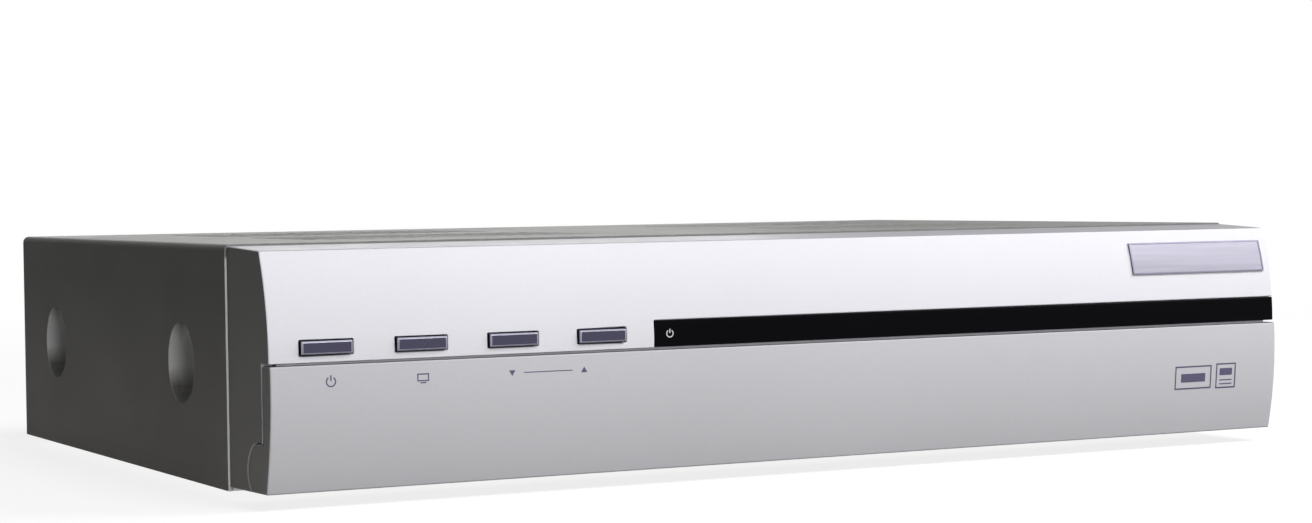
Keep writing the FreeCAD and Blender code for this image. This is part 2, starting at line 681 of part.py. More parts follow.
INLET_FRONT = f"({REAR_WALL} + inlet_reach - inlet_depth - inlet_back)"
ROCKER_X = f"({POWER_LEFT} + rocker_inset)"
HOUSING_WIDTH = "(rocker_width + 2 * rocker_gap + 2 * housing_wall)"
HOUSING_HEIGHT = "(2 * rocker_radius + 2 * rocker_gap + 2 * housing_wall)"
BEZEL_TABS = (f"(-{HALF} + tab_inset)", "0", f"({HALF} - tab_inset)")


def rear_cutouts():
    """The openings in the rear wall, each a little larger than what passes through it."""
    loops = [circle(x, TUNER_LEVEL, "f_radius + socket_gap") for x in TUNER_JACKS]
    loops += [circle(x, LIP_LEVEL, "screw_radius + screw_play") for x in LIP_SCREWS]
    low, step, high = (up(f"({BOARD_TOP} + {sign} + {rows} * phono_pitch)")
                       for sign, rows in (("phono_edge", 0), ("-phono_edge", 1), ("-phono_edge", 2)))
    wide, narrow = "(phono_pitch - phono_edge)", "(phono_pitch / 2 - phono_edge)"
    loops.append([
        (f"{PHONO_X} - {wide}", low),
        (f"{PHONO_X} + {wide}", low),
        (f"{PHONO_X} + {wide}", step),
        (f"{PHONO_X} + {narrow}", step),
        (f"{PHONO_X} + {narrow}", high),
        (f"{PHONO_X} - {narrow}", high),
        (f"{PHONO_X} - {narrow}", step),
        (f"{PHONO_X} - {wide}", step),
    ])
    windows = [
        (SERIAL_X, SERIAL_LEVEL, "serial_shell", "serial_shell_height"),
        (INLET_X, INLET_LEVEL, "inlet_width", "inlet_height"),
        (ROCKER_X, up("rocker_level"), HOUSING_WIDTH, HOUSING_HEIGHT),
    ]
    windows += [(SCART_X, level, "scart_shell", "scart_shell_height") for level in SCART_LEVELS]
    loops += [box_round(x, level, f"({width} + 2 * socket_gap)", f"({height} + 2 * socket_gap)")
              for x, level, width, height in windows]
    return loops


def feet():
    """Four round rubber feet under the base."""
    spots = [(x, behind(depth), "0")
             for x in (f"(-{HALF} + foot_inset_side)", f"({HALF} - foot_inset_side)")
             for depth in ("foot_inset_end", "(cover_depth - foot_inset_end)")]
    feet = [rod(f"foot_{i}", spot, "foot_radius", "foot_height") for i, spot in enumerate(spots)]
    keep("rubber_feet", gather("rubber_feet_group", feet))


# ---- the front -------------------------------------------------------------------------------

KEYS = ("standby", "mode", "channel_down", "channel_up")
BEYOND_FRONT = ahead(f"({FLAP_REACH} + bezel_wall)")
WINDOW_BACK = f"({panel_at(WINDOW_TOP)} - window_thickness)"
CARD_LEVEL = up(f"{BOARD_TOP} + reader_height / 2")


def key_x(place):
    """X of the middle of a push button, counted from 0."""
    return f"(-{HALF} + key_inset + {place} * key_pitch)"


WINDOW_LEFT = f"({key_x(len(KEYS) - 1)} + window_start)"
BOSS_RADIUS = "(pin_radius + pin_play + boss_wall)"


def taper(made):
    """Takes both ends of a front piece back to the bezel's tapering sides."""
    far = f"({FLAP_REACH} + bezel_wall)"
    lean = f"(seam_inset + taper_inset * {far} / {FLAP_REACH})"
    wedges = [
        [(f"{HALF} - {lean}", ahead(far)), (f"{HALF} + cover_sheet", ahead(far)),
         (f"{HALF} + cover_sheet", SEAM), (f"{HALF} - seam_inset", SEAM)],
        [(f"-{HALF} + {lean}", ahead(far)), (f"-{HALF} + seam_inset", SEAM),
         (f"-{HALF} - cover_sheet", SEAM), (f"-{HALF} - cover_sheet", ahead(far))],
    ]
    pocket(made, sketch(made, "XY_Plane", wedges), "3 * case_height", midplane=True)


def bezel():
    """A moulded frame, open at the rear: the leaning upper panel, the shelf under it, the bay
    for the flap with a cheek at each end that carries the flap's pin, and the end walls."""
    made = body("bezel_moulding")
    shelf_low = f"({SHELF_TOP} - shelf_wall)"
    shelf_front = "(panel_reach - shelf_back)"
    brow_low = f"({BROW} - bezel_wall)"
    inner_radius = "(panel_radius - bezel_wall)"
    wall = [
        (SEAM, up(SEAM_TOP)),
        (ahead(panel_at(BROW)), up(BROW), "panel_radius", "out"),
        (ahead(panel_at("panel_foot")), up("panel_foot")),
        (ahead(shelf_front), up("panel_foot")),
        (ahead(shelf_front), up(shelf_low)),
        (ahead("bay_reach"), up(shelf_low)),
        (ahead("bay_reach"), up("bezel_foot")),
        (SEAM, up("bezel_foot")),
        (SEAM, up("bezel_foot + bezel_wall")),
        (ahead("bay_reach - bezel_wall"), up("bezel_foot + bezel_wall")),
        (ahead("bay_reach - bezel_wall"), up(SHELF_TOP)),
        (ahead(panel_at(SHELF_TOP, "bezel_wall")), up(SHELF_TOP), inner_radius, "in"),
        (ahead(panel_at(brow_low, "bezel_wall")), up(brow_low)),
        (SEAM, up(f"{SEAM_TOP} - bezel_wall")),
    ]
    pad(made, sketch(made, "YZ_Plane", [wall]), f"2 * {BEZEL_HALF}", midplane=True)
    end = [
        (SEAM, up(SEAM_TOP)),
        (ahead(panel_at(BROW)), up(BROW), "panel_radius", "out"),
        (ahead(panel_at("panel_foot")), up("panel_foot")),
        (ahead("panel_reach"), up("bezel_foot")),
        (SEAM, up("bezel_foot")),
    ]
    pad_ends(made, [end], CHEEK_OUTSIDE, "side_wall")
    hinge_bays(made)
    taper(made)
    bezel_tabs(made)
    board_hooks(made)
    bezel_openings(made)
    keep("front_bezel", made)


def hinge_bays(made):
    """At each end of the bay, the cheek with the hole for the flap's pin, and outside it the
    recess in the end wall for the flap's skirt and its round ear."""
    pivot = (ahead(PIVOT_REACH), up("pivot_height"))
    roof = up(f"{SHELF_TOP} - shelf_wall / 2")
    cheek_low = up("(pivot_height + pin_radius)")
    cheek = [
        (ahead("bay_reach"), roof),
        (ahead(f"({PIVOT_REACH} + {BOSS_RADIUS})"), roof),
        (ahead(f"({PIVOT_REACH} + {BOSS_RADIUS})"), up("pivot_height")),
        (ahead(f"({PIVOT_REACH} - {BOSS_RADIUS})"), up("pivot_height")),
        (ahead(f"({PIVOT_REACH} - {BOSS_RADIUS})"), cheek_low),
        (ahead("bay_reach"), cheek_low),
    ]
    inside = f"({CHEEK_OUTSIDE} - cheek)"
    pad_ends(made, [cheek], inside, "cheek")
    pad_ends(made, [circle(*pivot, BOSS_RADIUS)], inside, "cheek")
    skirt = rectangle(BEYOND_FRONT, up("-foot_height"), ahead(f"({SKIRT_REACH} - skirt_gap)"),
                      up("panel_foot"))
    pocket_ends(made, [skirt], CHEEK_OUTSIDE, "2 * side_wall")
    pocket_ends(made, [circle(*pivot, "ear_radius + ear_gap")], CHEEK_OUTSIDE, "2 * side_wall")
    pocket_ends(made, [circle(*pivot, "pin_radius + pin_play")], f"({inside} - cheek)", "3 * cheek")


def bezel_tabs(made):
    """Tabs behind the bezel: three reach under the top of the cover, and three lie on the base,
    each with a catch that has snapped into a hole in it."""
    low = [rectangle(f"{x} - tab_width / 2", up("chassis_sheet + tab_gap"), f"{x} + tab_width / 2",
                     up("bezel_foot + bezel_wall")) for x in BEZEL_TABS]
    high = [rectangle(f"{x} - tab_width / 2", up(f"{SEAM_TOP} - bezel_wall"), f"{x} + tab_width / 2",
                      up("case_height - cover_sheet - tab_gap")) for x in BEZEL_TABS]
    for tabs, length in ((low, "tab_length"), (high, "(tab_length / 2)")):
        pad(made, front_sketch(made, tabs, ahead("bezel_wall")), f"{length} + bezel_wall", backwards=True)
    catches = [rectangle(f"{x} - catch_width / 2", up("chassis_sheet / 4"), f"{x} + catch_width / 2",
                         up("bezel_foot + bezel_wall")) for x in BEZEL_TABS]
    pad(made, front_sketch(made, catches, behind("catch_depth")), "catch_length", backwards=True)


def board_hooks(made):
    """The front board's seat: at three places a rib ahead of it and a hook behind it, on the
    shelf below and on the top wall above."""
    middles = (f"(-{HALF} + hook_inset)", "0", f"({HALF} - hook_inset)")
    low = (up(f"({SHELF_TOP} - shelf_wall / 2)"), up(f"({DISPLAY_LOW} + hook_grip)"))
    high = (up(f"({DISPLAY_TOP} - hook_grip)"), up(f"({BROW} - bezel_wall / 2)"))
    teeth = [rectangle(f"{x} - hook_width / 2", foot, f"{x} + hook_width / 2", top)
             for x in middles for foot, top in (low, high)]
    pad(made, front_sketch(made, teeth, ahead("(display_reach - board - hook_gap)")), "hook_depth",
        backwards=True)
    pad(made, front_sketch(made, teeth, ahead("(display_reach + hook_gap)")), "rib_depth")


def bezel_openings(made):
    """Holes for the buttons, the window's seat with its ledge, and the mouth for a card."""
    width, height = "(key_width + 2 * key_gap)", "(key_height + 2 * key_gap)"
    holes = [box_round(key_x(i), up(KEY_LEVEL), width, height) for i in range(len(KEYS))]
    through = f"{FLAP_REACH} + bezel_wall - display_reach"
    pocket(made, front_sketch(made, holes, BEYOND_FRONT), through)
    seat = rectangle(f"{WINDOW_LEFT} - window_play", up("panel_foot"), f"{HALF} + bezel_wall",
                     up(f"{WINDOW_TOP} + window_play"))
    pocket(made, front_sketch(made, [seat], BEYOND_FRONT),
           f"{FLAP_REACH} + bezel_wall - {WINDOW_BACK} + window_play")
    view = rectangle(f"{WINDOW_LEFT} + window_ledge", up("panel_foot + window_ledge"),
                     f"{CHEEK_OUTSIDE} - window_ledge", up(f"{WINDOW_TOP} - window_ledge"))
    pocket(made, front_sketch(made, [view], BEYOND_FRONT), through)
    mouth = box_round("0", CARD_LEVEL, "(card_width + 2 * card_mouth)", "(card_slot + 2 * card_mouth)")
    pocket(made, front_sketch(made, [mouth], ahead("bay_reach")), "3 * bezel_wall", midplane=True)


def flap():
    """The drop-down flap: a convex front wall with a lip below, an end skirt that widens into a
    round ear at each end, and a stub pin on each ear that turns in the bezel's cheek."""
    made = body("flap_moulding")
    lip_top = "(bezel_foot + lip_wall)"
    inner_radius = "(flap_radius - flap_wall)"
    shell = [
        (ahead(flap_at(FLAP_TOP)), up(FLAP_TOP), "flap_radius", "out"),
        (ahead(flap_at("bezel_foot")), up("bezel_foot")),
        (ahead(PIVOT_REACH), up("bezel_foot")),
        (ahead(PIVOT_REACH), up(lip_top)),
        (ahead(flap_at(lip_top, "flap_wall")), up(lip_top), inner_radius, "in"),
        (ahead(flap_at(FLAP_TOP, "flap_wall")), up(FLAP_TOP)),
    ]
    pad(made, sketch(made, "YZ_Plane", [shell]), f"2 * {BEZEL_HALF}", midplane=True)
    ear_foot = f"({PIVOT_REACH} - sqrt(ear_radius^2 - (pivot_height - bezel_foot)^2))"
    ear_top = f"(pivot_height + sqrt(ear_radius^2 - ({SKIRT_REACH} - {PIVOT_REACH})^2))"
    skirt = [
        (ahead(flap_at(FLAP_TOP)), up(FLAP_TOP), "flap_radius", "out"),
        (ahead(flap_at("bezel_foot")), up("bezel_foot")),
        (ahead(ear_foot), up("bezel_foot"), "ear_radius", "out"),
        (ahead(SKIRT_REACH), up(ear_top)),
        (ahead(SKIRT_REACH), up(FLAP_TOP)),
    ]
    pad_ends(made, [skirt], EAR_INSIDE, "side_wall - end_gap")
    pin = circle(ahead(PIVOT_REACH), up("pivot_height"), "pin_radius")
    pad_ends(made, [pin], f"({EAR_INSIDE} - pin_length)", "pin_length + end_gap")
    taper(made)
    keep("flap", made)


def window():
    """The black display strip: its face follows the upper panel and it ends flush with the
    panel's side. Its flat back lies on the ledge."""
    made = body("window_strip")
    low, high = up("panel_foot + window_play"), up(WINDOW_TOP)
    strip = [
        (ahead(panel_at(WINDOW_TOP)), high, "panel_radius", "out"),
        (ahead(panel_at("(panel_foot + window_play)")), low),
        (ahead(WINDOW_BACK), low),
        (ahead(WINDOW_BACK), high),
    ]
    pad(made, sketch(made, "YZ_Plane", [strip], WINDOW_LEFT), f"{HALF} - {WINDOW_LEFT}")
    taper(made)
    keep("display_window", made)


KEY_FRONT = f"({panel_at(KEY_LEVEL)} + key_proud)"
KEY_BACK = f"({panel_at(f'({KEY_LEVEL} + key_height / 2 + key_flange)')} - bezel_wall - key_stop)"
SWITCH_FRONT = "(display_reach + switch_depth)"
TOUCHING = 1e-4
PLUNGER_FRONT = f"({SWITCH_FRONT} + plunger_proud)"


def key(place, name):
    """A push button: a cap with a chamfered face, a flange behind the panel that stops it, and
    a stem that rests on the plunger of its switch."""
    made = body(f"{name}_button_moulding")
    middle = (key_x(place), up(KEY_LEVEL))
    front, back = ahead(KEY_FRONT), ahead(f"({KEY_BACK} - key_flange)")
    cap = pad(made, front_sketch(made, [box_round(*middle, "key_width", "key_height")], front),
              f"{KEY_FRONT} - {KEY_BACK} + key_flange", backwards=True)
    doc.recompute()
    face = value(front)
    rim = [f"Edge{number}" for number, edge in enumerate(cap.Shape.Edges, 1)
           if all(abs(corner.Y - face) < TOUCHING for corner in edge.Vertexes)]
    bevel = made.newObject("PartDesign::Chamfer", f"{name}_bevel")
    bevel.Base = (cap, rim)
    bevel.setExpression("Size", bound("key_rim"))
    flange = box_round(*middle, "(key_width + 2 * key_flange)", "(key_height + 2 * key_flange)")
    pad(made, front_sketch(made, [flange], back), "key_flange")
    pad(made, front_sketch(made, [box_round(*middle, "stem", "stem")], ahead(PLUNGER_FRONT)),
        f"{KEY_BACK} - {PLUNGER_FRONT}")
    keep(f"{name}_button", made)
    low = (f"{middle[0]} - stem / 2", ahead(PLUNGER_FRONT), f"{middle[1]} - stem / 2")
    keep(f"{name}_plunger", block(f"{name}_plunger_block", low, ("stem", "plunger_length", "stem")))


# ---- the front board -------------------------------------------------------------------------

def front_board():
    """The board behind the upper panel, which the bezel's ribs and hooks hold."""
    low = (f"-{DISPLAY_HALF}", ahead("display_reach"), up(DISPLAY_LOW))
    keep("front_board", block("front_board_plate", low,
                              (f"2 * {DISPLAY_HALF}", "board", f"{DISPLAY_TOP} - {DISPLAY_LOW}")))


def front_board_parts():
    """What stands on the front board: switches, display, standby lamp and infrared receiver."""
    face = ahead("display_reach")
    switches = []
    for i in range(len(KEYS)):
        case = block(f"switch_case_{i}", (f"{key_x(i)} - switch_side / 2", ahead(SWITCH_FRONT),
                                          up(f"{KEY_LEVEL} - switch_side / 2")),
                     ("switch_side", "switch_depth", "switch_side"))
        across = "(stem + 2 * plunger_play)"
        well = block(f"switch_well_{i}", (f"{key_x(i)} - {across} / 2", ahead(PLUNGER_FRONT),
                                          up(f"{KEY_LEVEL} - {across} / 2")),
                     (across, "switch_well + plunger_proud", across))
        switches.append(cut(f"switch_{i}", case, [well]))
    keep("tact_switches", gather("tact_switches_group", switches))

    lens = up(f"(panel_foot + {WINDOW_TOP}) / 2")
    low = up(f"{DISPLAY_LOW} + display_seat")
    left = f"{HALF} - digits_inset - digits_width"
    digits = block("digits_case", (left, ahead("(display_reach + digits_depth)"), low),
                   ("digits_width", "digits_depth", "digits_height"))
    keep("led_display", digits)
    lamp = rod("standby_lamp_dome", (f"{WINDOW_LEFT} + lamp_start", face, lens), "lamp_radius",
               "lamp_length", "front")
    keep("standby_lamp", lamp)
    eye_front = ahead("(display_reach + eye_depth)")
    case = block("eye_case", (f"{HALF} - eye_inset - eye_width / 2", eye_front, low),
                 ("eye_width", "eye_depth", "eye_height"))
    dome = rod("eye_lens", (f"{HALF} - eye_inset", ahead("display_reach"), lens), "eye_radius",
               "eye_depth + eye_dome", "front")
    keep("infrared_receiver", join("infrared_receiver_piece", [case, dome]))


# ---- the boards in the case ------------------------------------------------------------------

REAR_ROW = f"({INLET_FRONT} - support_barb)"
TUNER_FRONT = f"({SOCKET_FRONT} - tuner_length)"
MAIN_SUPPORTS = (
    (f"({MAIN_LEFT} + board_margin)", behind("(main_front + board_margin)")),
    (f"({MAIN_RIGHT} - board_margin)", behind("(main_front + board_margin)")),
    (f"({MAIN_LEFT} + board_margin)", behind(REAR_ROW)),
    (f"({MAIN_RIGHT} - board_margin)", behind(f"({TUNER_FRONT} - 2 * board_margin)")),
)
POWER_SUPPORTS = (
    (f"({POWER_LEFT} + board_margin)", behind("(power_front + board_margin)")),
    (f"({POWER_RIGHT} - board_margin)", behind("(power_front + board_margin)")),
    (f"({POWER_LEFT} + board_margin)", behind(REAR_ROW)),
    (f"({POWER_RIGHT} - board_margin)", behind(REAR_ROW)),
)


def upright(name, spot, across, foot, height):
    """A block round a place on a board, square or (along X, along Y), from a height up."""
    along_x, along_y = across if isinstance(across, tuple) else (across, across)
    return block(name, (f"{spot[0]} - {along_x} / 2", f"{spot[1]} - {along_y} / 2", up(foot)),
                 (along_x, along_y, height))


def flat_board(label, left, right, front, supports):
    """A printed circuit board up to a little ahead of the rear wall, with the supports' holes."""
    rear = f"({REAR_WALL} - chassis_sheet - board_rear)"
    plate = block(f"{label}_plate", (left, behind(front), up(f"({BOARD_TOP} - board)")),
                  (f"{right} - {left}", f"{rear} - {front}", "board"))
    holes = [upright(f"{label}_hole_{i}", spot, "(support_neck + 2 * neck_play)",
                     f"({BOARD_TOP} - 2 * board)", "3 * board") for i, spot in enumerate(supports)]
    keep(label, cut(f"{label}_piece", plate, holes))


def board_supports():
    """Snap-in supports on the base: a square pillar, a neck through the board and a barb."""
    supports = []
    for i, spot in enumerate(MAIN_SUPPORTS + POWER_SUPPORTS):
        pillar = upright(f"support_{i}_pillar", spot, "support_side", "chassis_sheet", "support_height")
        neck = upright(f"support_{i}_neck", spot, "support_neck", f"({BOARD_TOP} - board)", "board")
        barb = upright(f"support_{i}_barb", spot, ("support_barb", "support_neck"), BOARD_TOP,
                       "barb_height")
        supports.append(join(f"support_{i}", [pillar, neck, barb]))
    keep("board_supports", gather("board_supports_group", supports))


def chips():
    """The decoder with its finned heatsink, and two memory chips beside it."""
    middle = f"({MAIN_RIGHT} - chip_inset)"
    keep("decoder_chip", seated("decoder_body", middle, "(chip_depth - chip_side / 2)", BOARD_TOP,
                                ("chip_side", "chip_side", "chip_height")))
    front = "(chip_depth - sink_side / 2)"
    foot = f"({BOARD_TOP} + chip_height)"
    base = seated("sink_plate", middle, front, foot, ("sink_side", "sink_side", "sink_base"))
    step = "(sink_side - sink_fin) / (sink_fins - 1)"
    fins = [block(f"sink_fin_{i}", (f"{middle} - sink_side / 2 + {i} * {step}", behind(front), up(foot)),
                  ("sink_fin", "sink_side", "sink_height")) for i in range(int(value("sink_fins")))]
    keep("chip_heatsink", join("chip_heatsink_piece", [base] + fins))
    left = f"({middle} - chip_side / 2 - memory_gap - memory_length / 2)"
    size = ("memory_length", "memory_width", "memory_height")
    depths = "(chip_depth - memory_spacing / 2 - memory_width)", "(chip_depth + memory_spacing / 2)"
    memory = [seated(f"memory_{i}", left, depth, BOARD_TOP, size) for i, depth in enumerate(depths)]
    keep("memory_chips", gather("memory_chips_group", memory))


def capacitors():
    """Electrolytic capacitors: one by the tuner and two on the power board."""
    by_tuner = f"({MAIN_RIGHT} - tuner_width - can_gap - can_radius)"
    first = f"({POWER_LEFT} + board_margin + can_radius + can_gap)"
    level = behind("(power_front + board_margin + can_radius + can_gap)")
    spots = [(by_tuner, behind(f"({TUNER_FRONT} + can_radius)"))]
    spots += [(f"({first} + {i} * (2 * can_radius + can_gap))", level) for i in range(2)]
    cans = [rod(f"can_{i}", (x, y, up(BOARD_TOP)), "can_radius", "can_height")
            for i, (x, y) in enumerate(spots)]
    keep("capacitors", gather("capacitors_group", cans))


def card_reader():
    """A flat card reader on the front of the main board, with its slot towards the flap."""
    front = "(bezel_wall + end_gap - bay_reach)"
    case = seated("reader_case", "0", front, BOARD_TOP, ("reader_width", "reader_length", "reader_height"))
    mouth = ("-card_width / 2", behind(f"({front} - board)"), f"{CARD_LEVEL} - card_slot / 2")
    slot = block("reader_slot", mouth, ("card_width", "card_depth + board", "card_slot"))
    keep("card_reader", cut("card_reader_piece", case, [slot]))


def tuner():
    """A screened tuner with two F connectors that pass the rear wall, each with its nut."""
    keep("tuner_can", seated("tuner_can_body", TUNER_X, TUNER_FRONT, BOARD_TOP,
                             ("tuner_width", "tuner_length", "tuner_height")))
    jacks = []
    for i, x in enumerate(TUNER_JACKS):
        neck = hex_rod(f"f_neck_{i}", (x, behind(SOCKET_FRONT), TUNER_LEVEL), "f_radius",
                       f"{REAR_WALL} - {SOCKET_FRONT}")
        barrel = rod(f"f_barrel_{i}", (x, behind(f"({REAR_WALL} + f_nut)"), TUNER_LEVEL), "f_radius",
                     "f_reach - f_nut", "rear")
        mouth = rod(f"f_mouth_{i}", (x, behind(f"({REAR_WALL} + f_reach - f_mouth)"), TUNER_LEVEL),
                    "f_bore", "2 * f_mouth", "rear")
        nut = hex_rod(f"f_nut_{i}", (x, behind(REAR_WALL), TUNER_LEVEL), "f_nut_radius", "f_nut")
        jacks.append(cut(f"f_connector_{i}", join(f"f_solid_{i}", [neck, nut, barrel]), [mouth]))
    keep("f_connectors", gather("f_connectors_group", jacks))


def serial_port():
    """A nine-pin D port: a body inside the rear wall, an open D-shaped shell through it, and
    two hexagonal posts on the wall beside it."""
    case = seated("serial_case", SERIAL_X, f"({SOCKET_FRONT} - serial_depth)", BOARD_TOP,
                  ("serial_width", "serial_depth", "serial_shell_height + 2 * serial_rise"))
    shell = body("serial_shell_moulding")

    def outline(wall):
        half, lean = f"(serial_shell / 2 - {wall})", "serial_slant"
        rise = f"(serial_shell_height / 2 - {wall})"
        return [
            (f"{SERIAL_X} - {half} + {lean}", f"{SERIAL_LEVEL} - {rise}"),
            (f"{SERIAL_X} + {half} - {lean}", f"{SERIAL_LEVEL} - {rise}"),
            (f"{SERIAL_X} + {half}", f"{SERIAL_LEVEL} + {rise}"),
            (f"{SERIAL_X} - {half}", f"{SERIAL_LEVEL} + {rise}"),
        ]

    mouth = behind(f"({REAR_WALL} + serial_reach)")
    pad(shell, front_sketch(shell, [outline("0")], mouth),
        f"{REAR_WALL} + serial_reach - {SOCKET_FRONT} + serial_wall")
    pocket(shell, front_sketch(shell, [outline("serial_wall")], mouth), "serial_reach - serial_wall",
           forwards=True)
    keep("serial_port", join("serial_port_piece", [case, shell]))
    posts = []
    for i, x in enumerate((f"({SERIAL_X} - serial_posts / 2)", f"({SERIAL_X} + serial_posts / 2)")):
        posts.append(hex_rod(f"serial_post_{i}", (x, behind(REAR_WALL), SERIAL_LEVEL), "post_radius",
                             "post_length"))
    keep("serial_posts", gather("serial_posts_group", posts))


def scart_sockets():
    """Two SCART sockets, one above the other, each with one corner cut off, a slot for the
    plug's shell inside its edge and two rows of holes for the contacts."""
    mouth = f"({REAR_WALL} + scart_reach)"
    solid = [seated("scart_case", SCART_X, f"({SOCKET_FRONT} - scart_depth)", BOARD_TOP,
                    ("scart_width", "scart_depth", "scart_height"))]
    cuts = []

    def outline(level, inset):
        across = f"(scart_shell / 2 - {inset})"
        rise = f"(scart_shell_height / 2 - {inset})"
        slack = f"({inset} * (sqrt(2) - 1))"
        corner = f"{SCART_X} - scart_shell / 2 + scart_shell_height / 2 + {slack}"
        return [
            (f"{SCART_X} - {across}", f"{level} - {rise}"),
            (f"{SCART_X} + {across}", f"{level} - {rise}"),
            (f"{SCART_X} + {across}", f"{level} + {rise}"),
            (corner, f"{level} + {rise}"),
            (f"{SCART_X} - {across}", f"{level} - {slack}"),
        ]

    for number, level in enumerate(SCART_LEVELS):
        nose, ring = body(f"scart_nose_{number}"), body(f"scart_slot_{number}")
        pad(nose, front_sketch(nose, [outline(level, "0")], behind(mouth)),
            f"{mouth} - {SOCKET_FRONT} + scart_slot")
        slot = [outline(level, "scart_slot"), outline(level, "2 * scart_slot")]
        pad(ring, front_sketch(ring, slot, behind(mouth)), "2 * scart_slot_depth", midplane=True)
        solid.append(nose)
        cuts.append(ring)
        count = int(value("scart_contacts"))
        for row, shift in ((1, "0.25"), (-1, "-0.25")):
            for i in range(count):
                x = f"{SCART_X} + ({i} - (scart_contacts - 1) / 2 + {shift}) * scart_contact_pitch"
                cuts.append(block(f"scart_hole_{number}_{row}_{i}",
                                  (f"{x} - scart_contact / 2", behind(f"({mouth} - scart_slot_depth)"),
                                   f"{level} + ({row} * 2 - 1) * scart_contact"),
                                  ("scart_contact", "2 * scart_slot_depth", "2 * scart_contact")))
    keep("scart_sockets", cut("scart_piece", join("scart_solid", solid), cuts))


def phono_jacks():
    """A block of three phono jacks, video above right and left, each a barrel on a coloured ring."""
    front = f"({SOCKET_FRONT} - phono_depth)"
    lower = seated("phono_lower", PHONO_X, front, BOARD_TOP,
                   ("2 * phono_pitch", "phono_depth", "phono_pitch"))
    upper = seated("phono_upper", PHONO_X, front, f"({BOARD_TOP} + phono_pitch)",
                   ("phono_pitch", "phono_depth", "phono_pitch"))
    keep("phono_block", join("phono_block_piece", [lower, upper]))
    barrels = []
    for name, (x, level) in JACKS.items():
        keep(f"{name}_jack_ring", rod(f"{name}_ring", (x, behind(SOCKET_FRONT), level), "phono_ring",
                                      "phono_ring_length", "rear"))
        seat = f"({SOCKET_FRONT} + phono_ring_length)"
        barrel = rod(f"{name}_barrel", (x, behind(seat), level), "phono_radius",
                     f"{REAR_WALL} + phono_reach - {seat}", "rear")
        bore = rod(f"{name}_bore", (x, behind(f"({REAR_WALL} + phono_reach - phono_bore_depth)"), level),
                   "phono_bore", "2 * phono_bore_depth", "rear")
        barrels.append(cut(f"{name}_jack", barrel, [bore]))
    keep("jack_barrels", gather("jack_barrels_group", barrels))


# ---- the power side --------------------------------------------------------------------------

def mains_inlet():
    """A two-pin inlet: its nose passes the rear wall, and its cavity is a figure of eight."""
    made = body("inlet_moulding")
    face = behind(f"({REAR_WALL} + inlet_reach)")
    nose = box_round(INLET_X, INLET_LEVEL, "inlet_width", "inlet_height")
    pad(made, front_sketch(made, [nose], face), "inlet_depth + inlet_back")
    half = "(inlet_width / 2 + inlet_rise)"
    rim = rectangle(f"{INLET_X} - {half}", up(BOARD_TOP), f"{INLET_X} + {half}",
                    f"{INLET_LEVEL} + inlet_height / 2 + inlet_rise")
    pad(made, front_sketch(made, [rim], behind(SOCKET_FRONT)), f"{SOCKET_FRONT} - {INLET_FRONT}")
    side = "(inlet_waist / 2)"
    rise = f"sqrt(inlet_lobe^2 - (inlet_pins / 2 - {side})^2)"
    far = "(inlet_pins / 2 + inlet_lobe)"
    cavity = [
        (f"{INLET_X} - {side}", f"{INLET_LEVEL} - {rise}"),
        (f"{INLET_X} + {side}", f"{INLET_LEVEL} - {rise}", "inlet_lobe", "out"),
        (f"{INLET_X} + {far}", INLET_LEVEL, "inlet_lobe", "out"),
        (f"{INLET_X} + {side}", f"{INLET_LEVEL} + {rise}"),
        (f"{INLET_X} - {side}", f"{INLET_LEVEL} + {rise}", "inlet_lobe", "out"),
        (f"{INLET_X} - {far}", INLET_LEVEL, "inlet_lobe", "out"),
    ]
    pocket(made, front_sketch(made, [cavity], face), "inlet_depth", forwards=True)
    floor = behind(f"({REAR_WALL} + inlet_reach - inlet_depth - inlet_back / 2)")
    pins = [rod(f"inlet_pin_{i}", (f"{INLET_X} {sign} inlet_pins / 2", floor, INLET_LEVEL), "inlet_pin",
                "inlet_depth + inlet_back / 2 - inlet_pin_back", "rear") for i, sign in enumerate("-+")]
    keep("mains_inlet", join("mains_inlet_piece", [made] + pins))


def rocker_switch():
    """A snap-in switch: a housing with a round well, and a rocker that tips in it."""
    level, pivot = up("rocker_level"), behind(f"({REAR_WALL} - rocker_sink)")

    def slab(name, margin, inner, outer):
        low = (f"{ROCKER_X} - {HOUSING_WIDTH} / 2 - {margin}", behind(inner),
               f"{level} - {HOUSING_HEIGHT} / 2 - {margin}")
        size = (f"{HOUSING_WIDTH} + 2 * {margin}", f"{outer} - {inner}", f"{HOUSING_HEIGHT} + 2 * {margin}")
        return block(name, low, size)

    outside = f"({REAR_WALL} + housing_proud)"
    rim = slab("housing_rim_slab", "housing_rim", REAR_WALL, outside)
    case = slab("housing_case", "0", f"({REAR_WALL} - housing_depth)", outside)
    well = rod("housing_well", (f"{ROCKER_X} - rocker_width / 2 - rocker_gap", pivot, level),
               "rocker_radius + rocker_gap", "rocker_width + 2 * rocker_gap", "right")
    keep("switch_housing", cut("switch_housing_piece", join("housing_solid", [rim, case]), [well]))

    made = body("rocker_moulding")
    edge = "sqrt(rocker_radius^2 - rocker_crest^2)"
    profile = [
        ("rocker_dip", "0"),
        (edge, "rocker_crest", "rocker_radius", "out"),
        ("-rocker_radius", "0", "rocker_radius", "out"),
        (edge, "-rocker_crest"),
    ]
    pad(made, sketch(made, "YZ_Plane", [profile]), "rocker_width", midplane=True)
    made.Placement.Rotation = Rotation(Vector(1, 0, 0), value("rocker_tilt"))
    made.setExpression("Placement.Rotation.Angle", bound("rocker_tilt"))
    for axis, text in zip("xyz", (ROCKER_X, pivot, level)):
        made.setExpression(f"Placement.Base.{axis}", bound(text))
    keep("power_rocker", made)


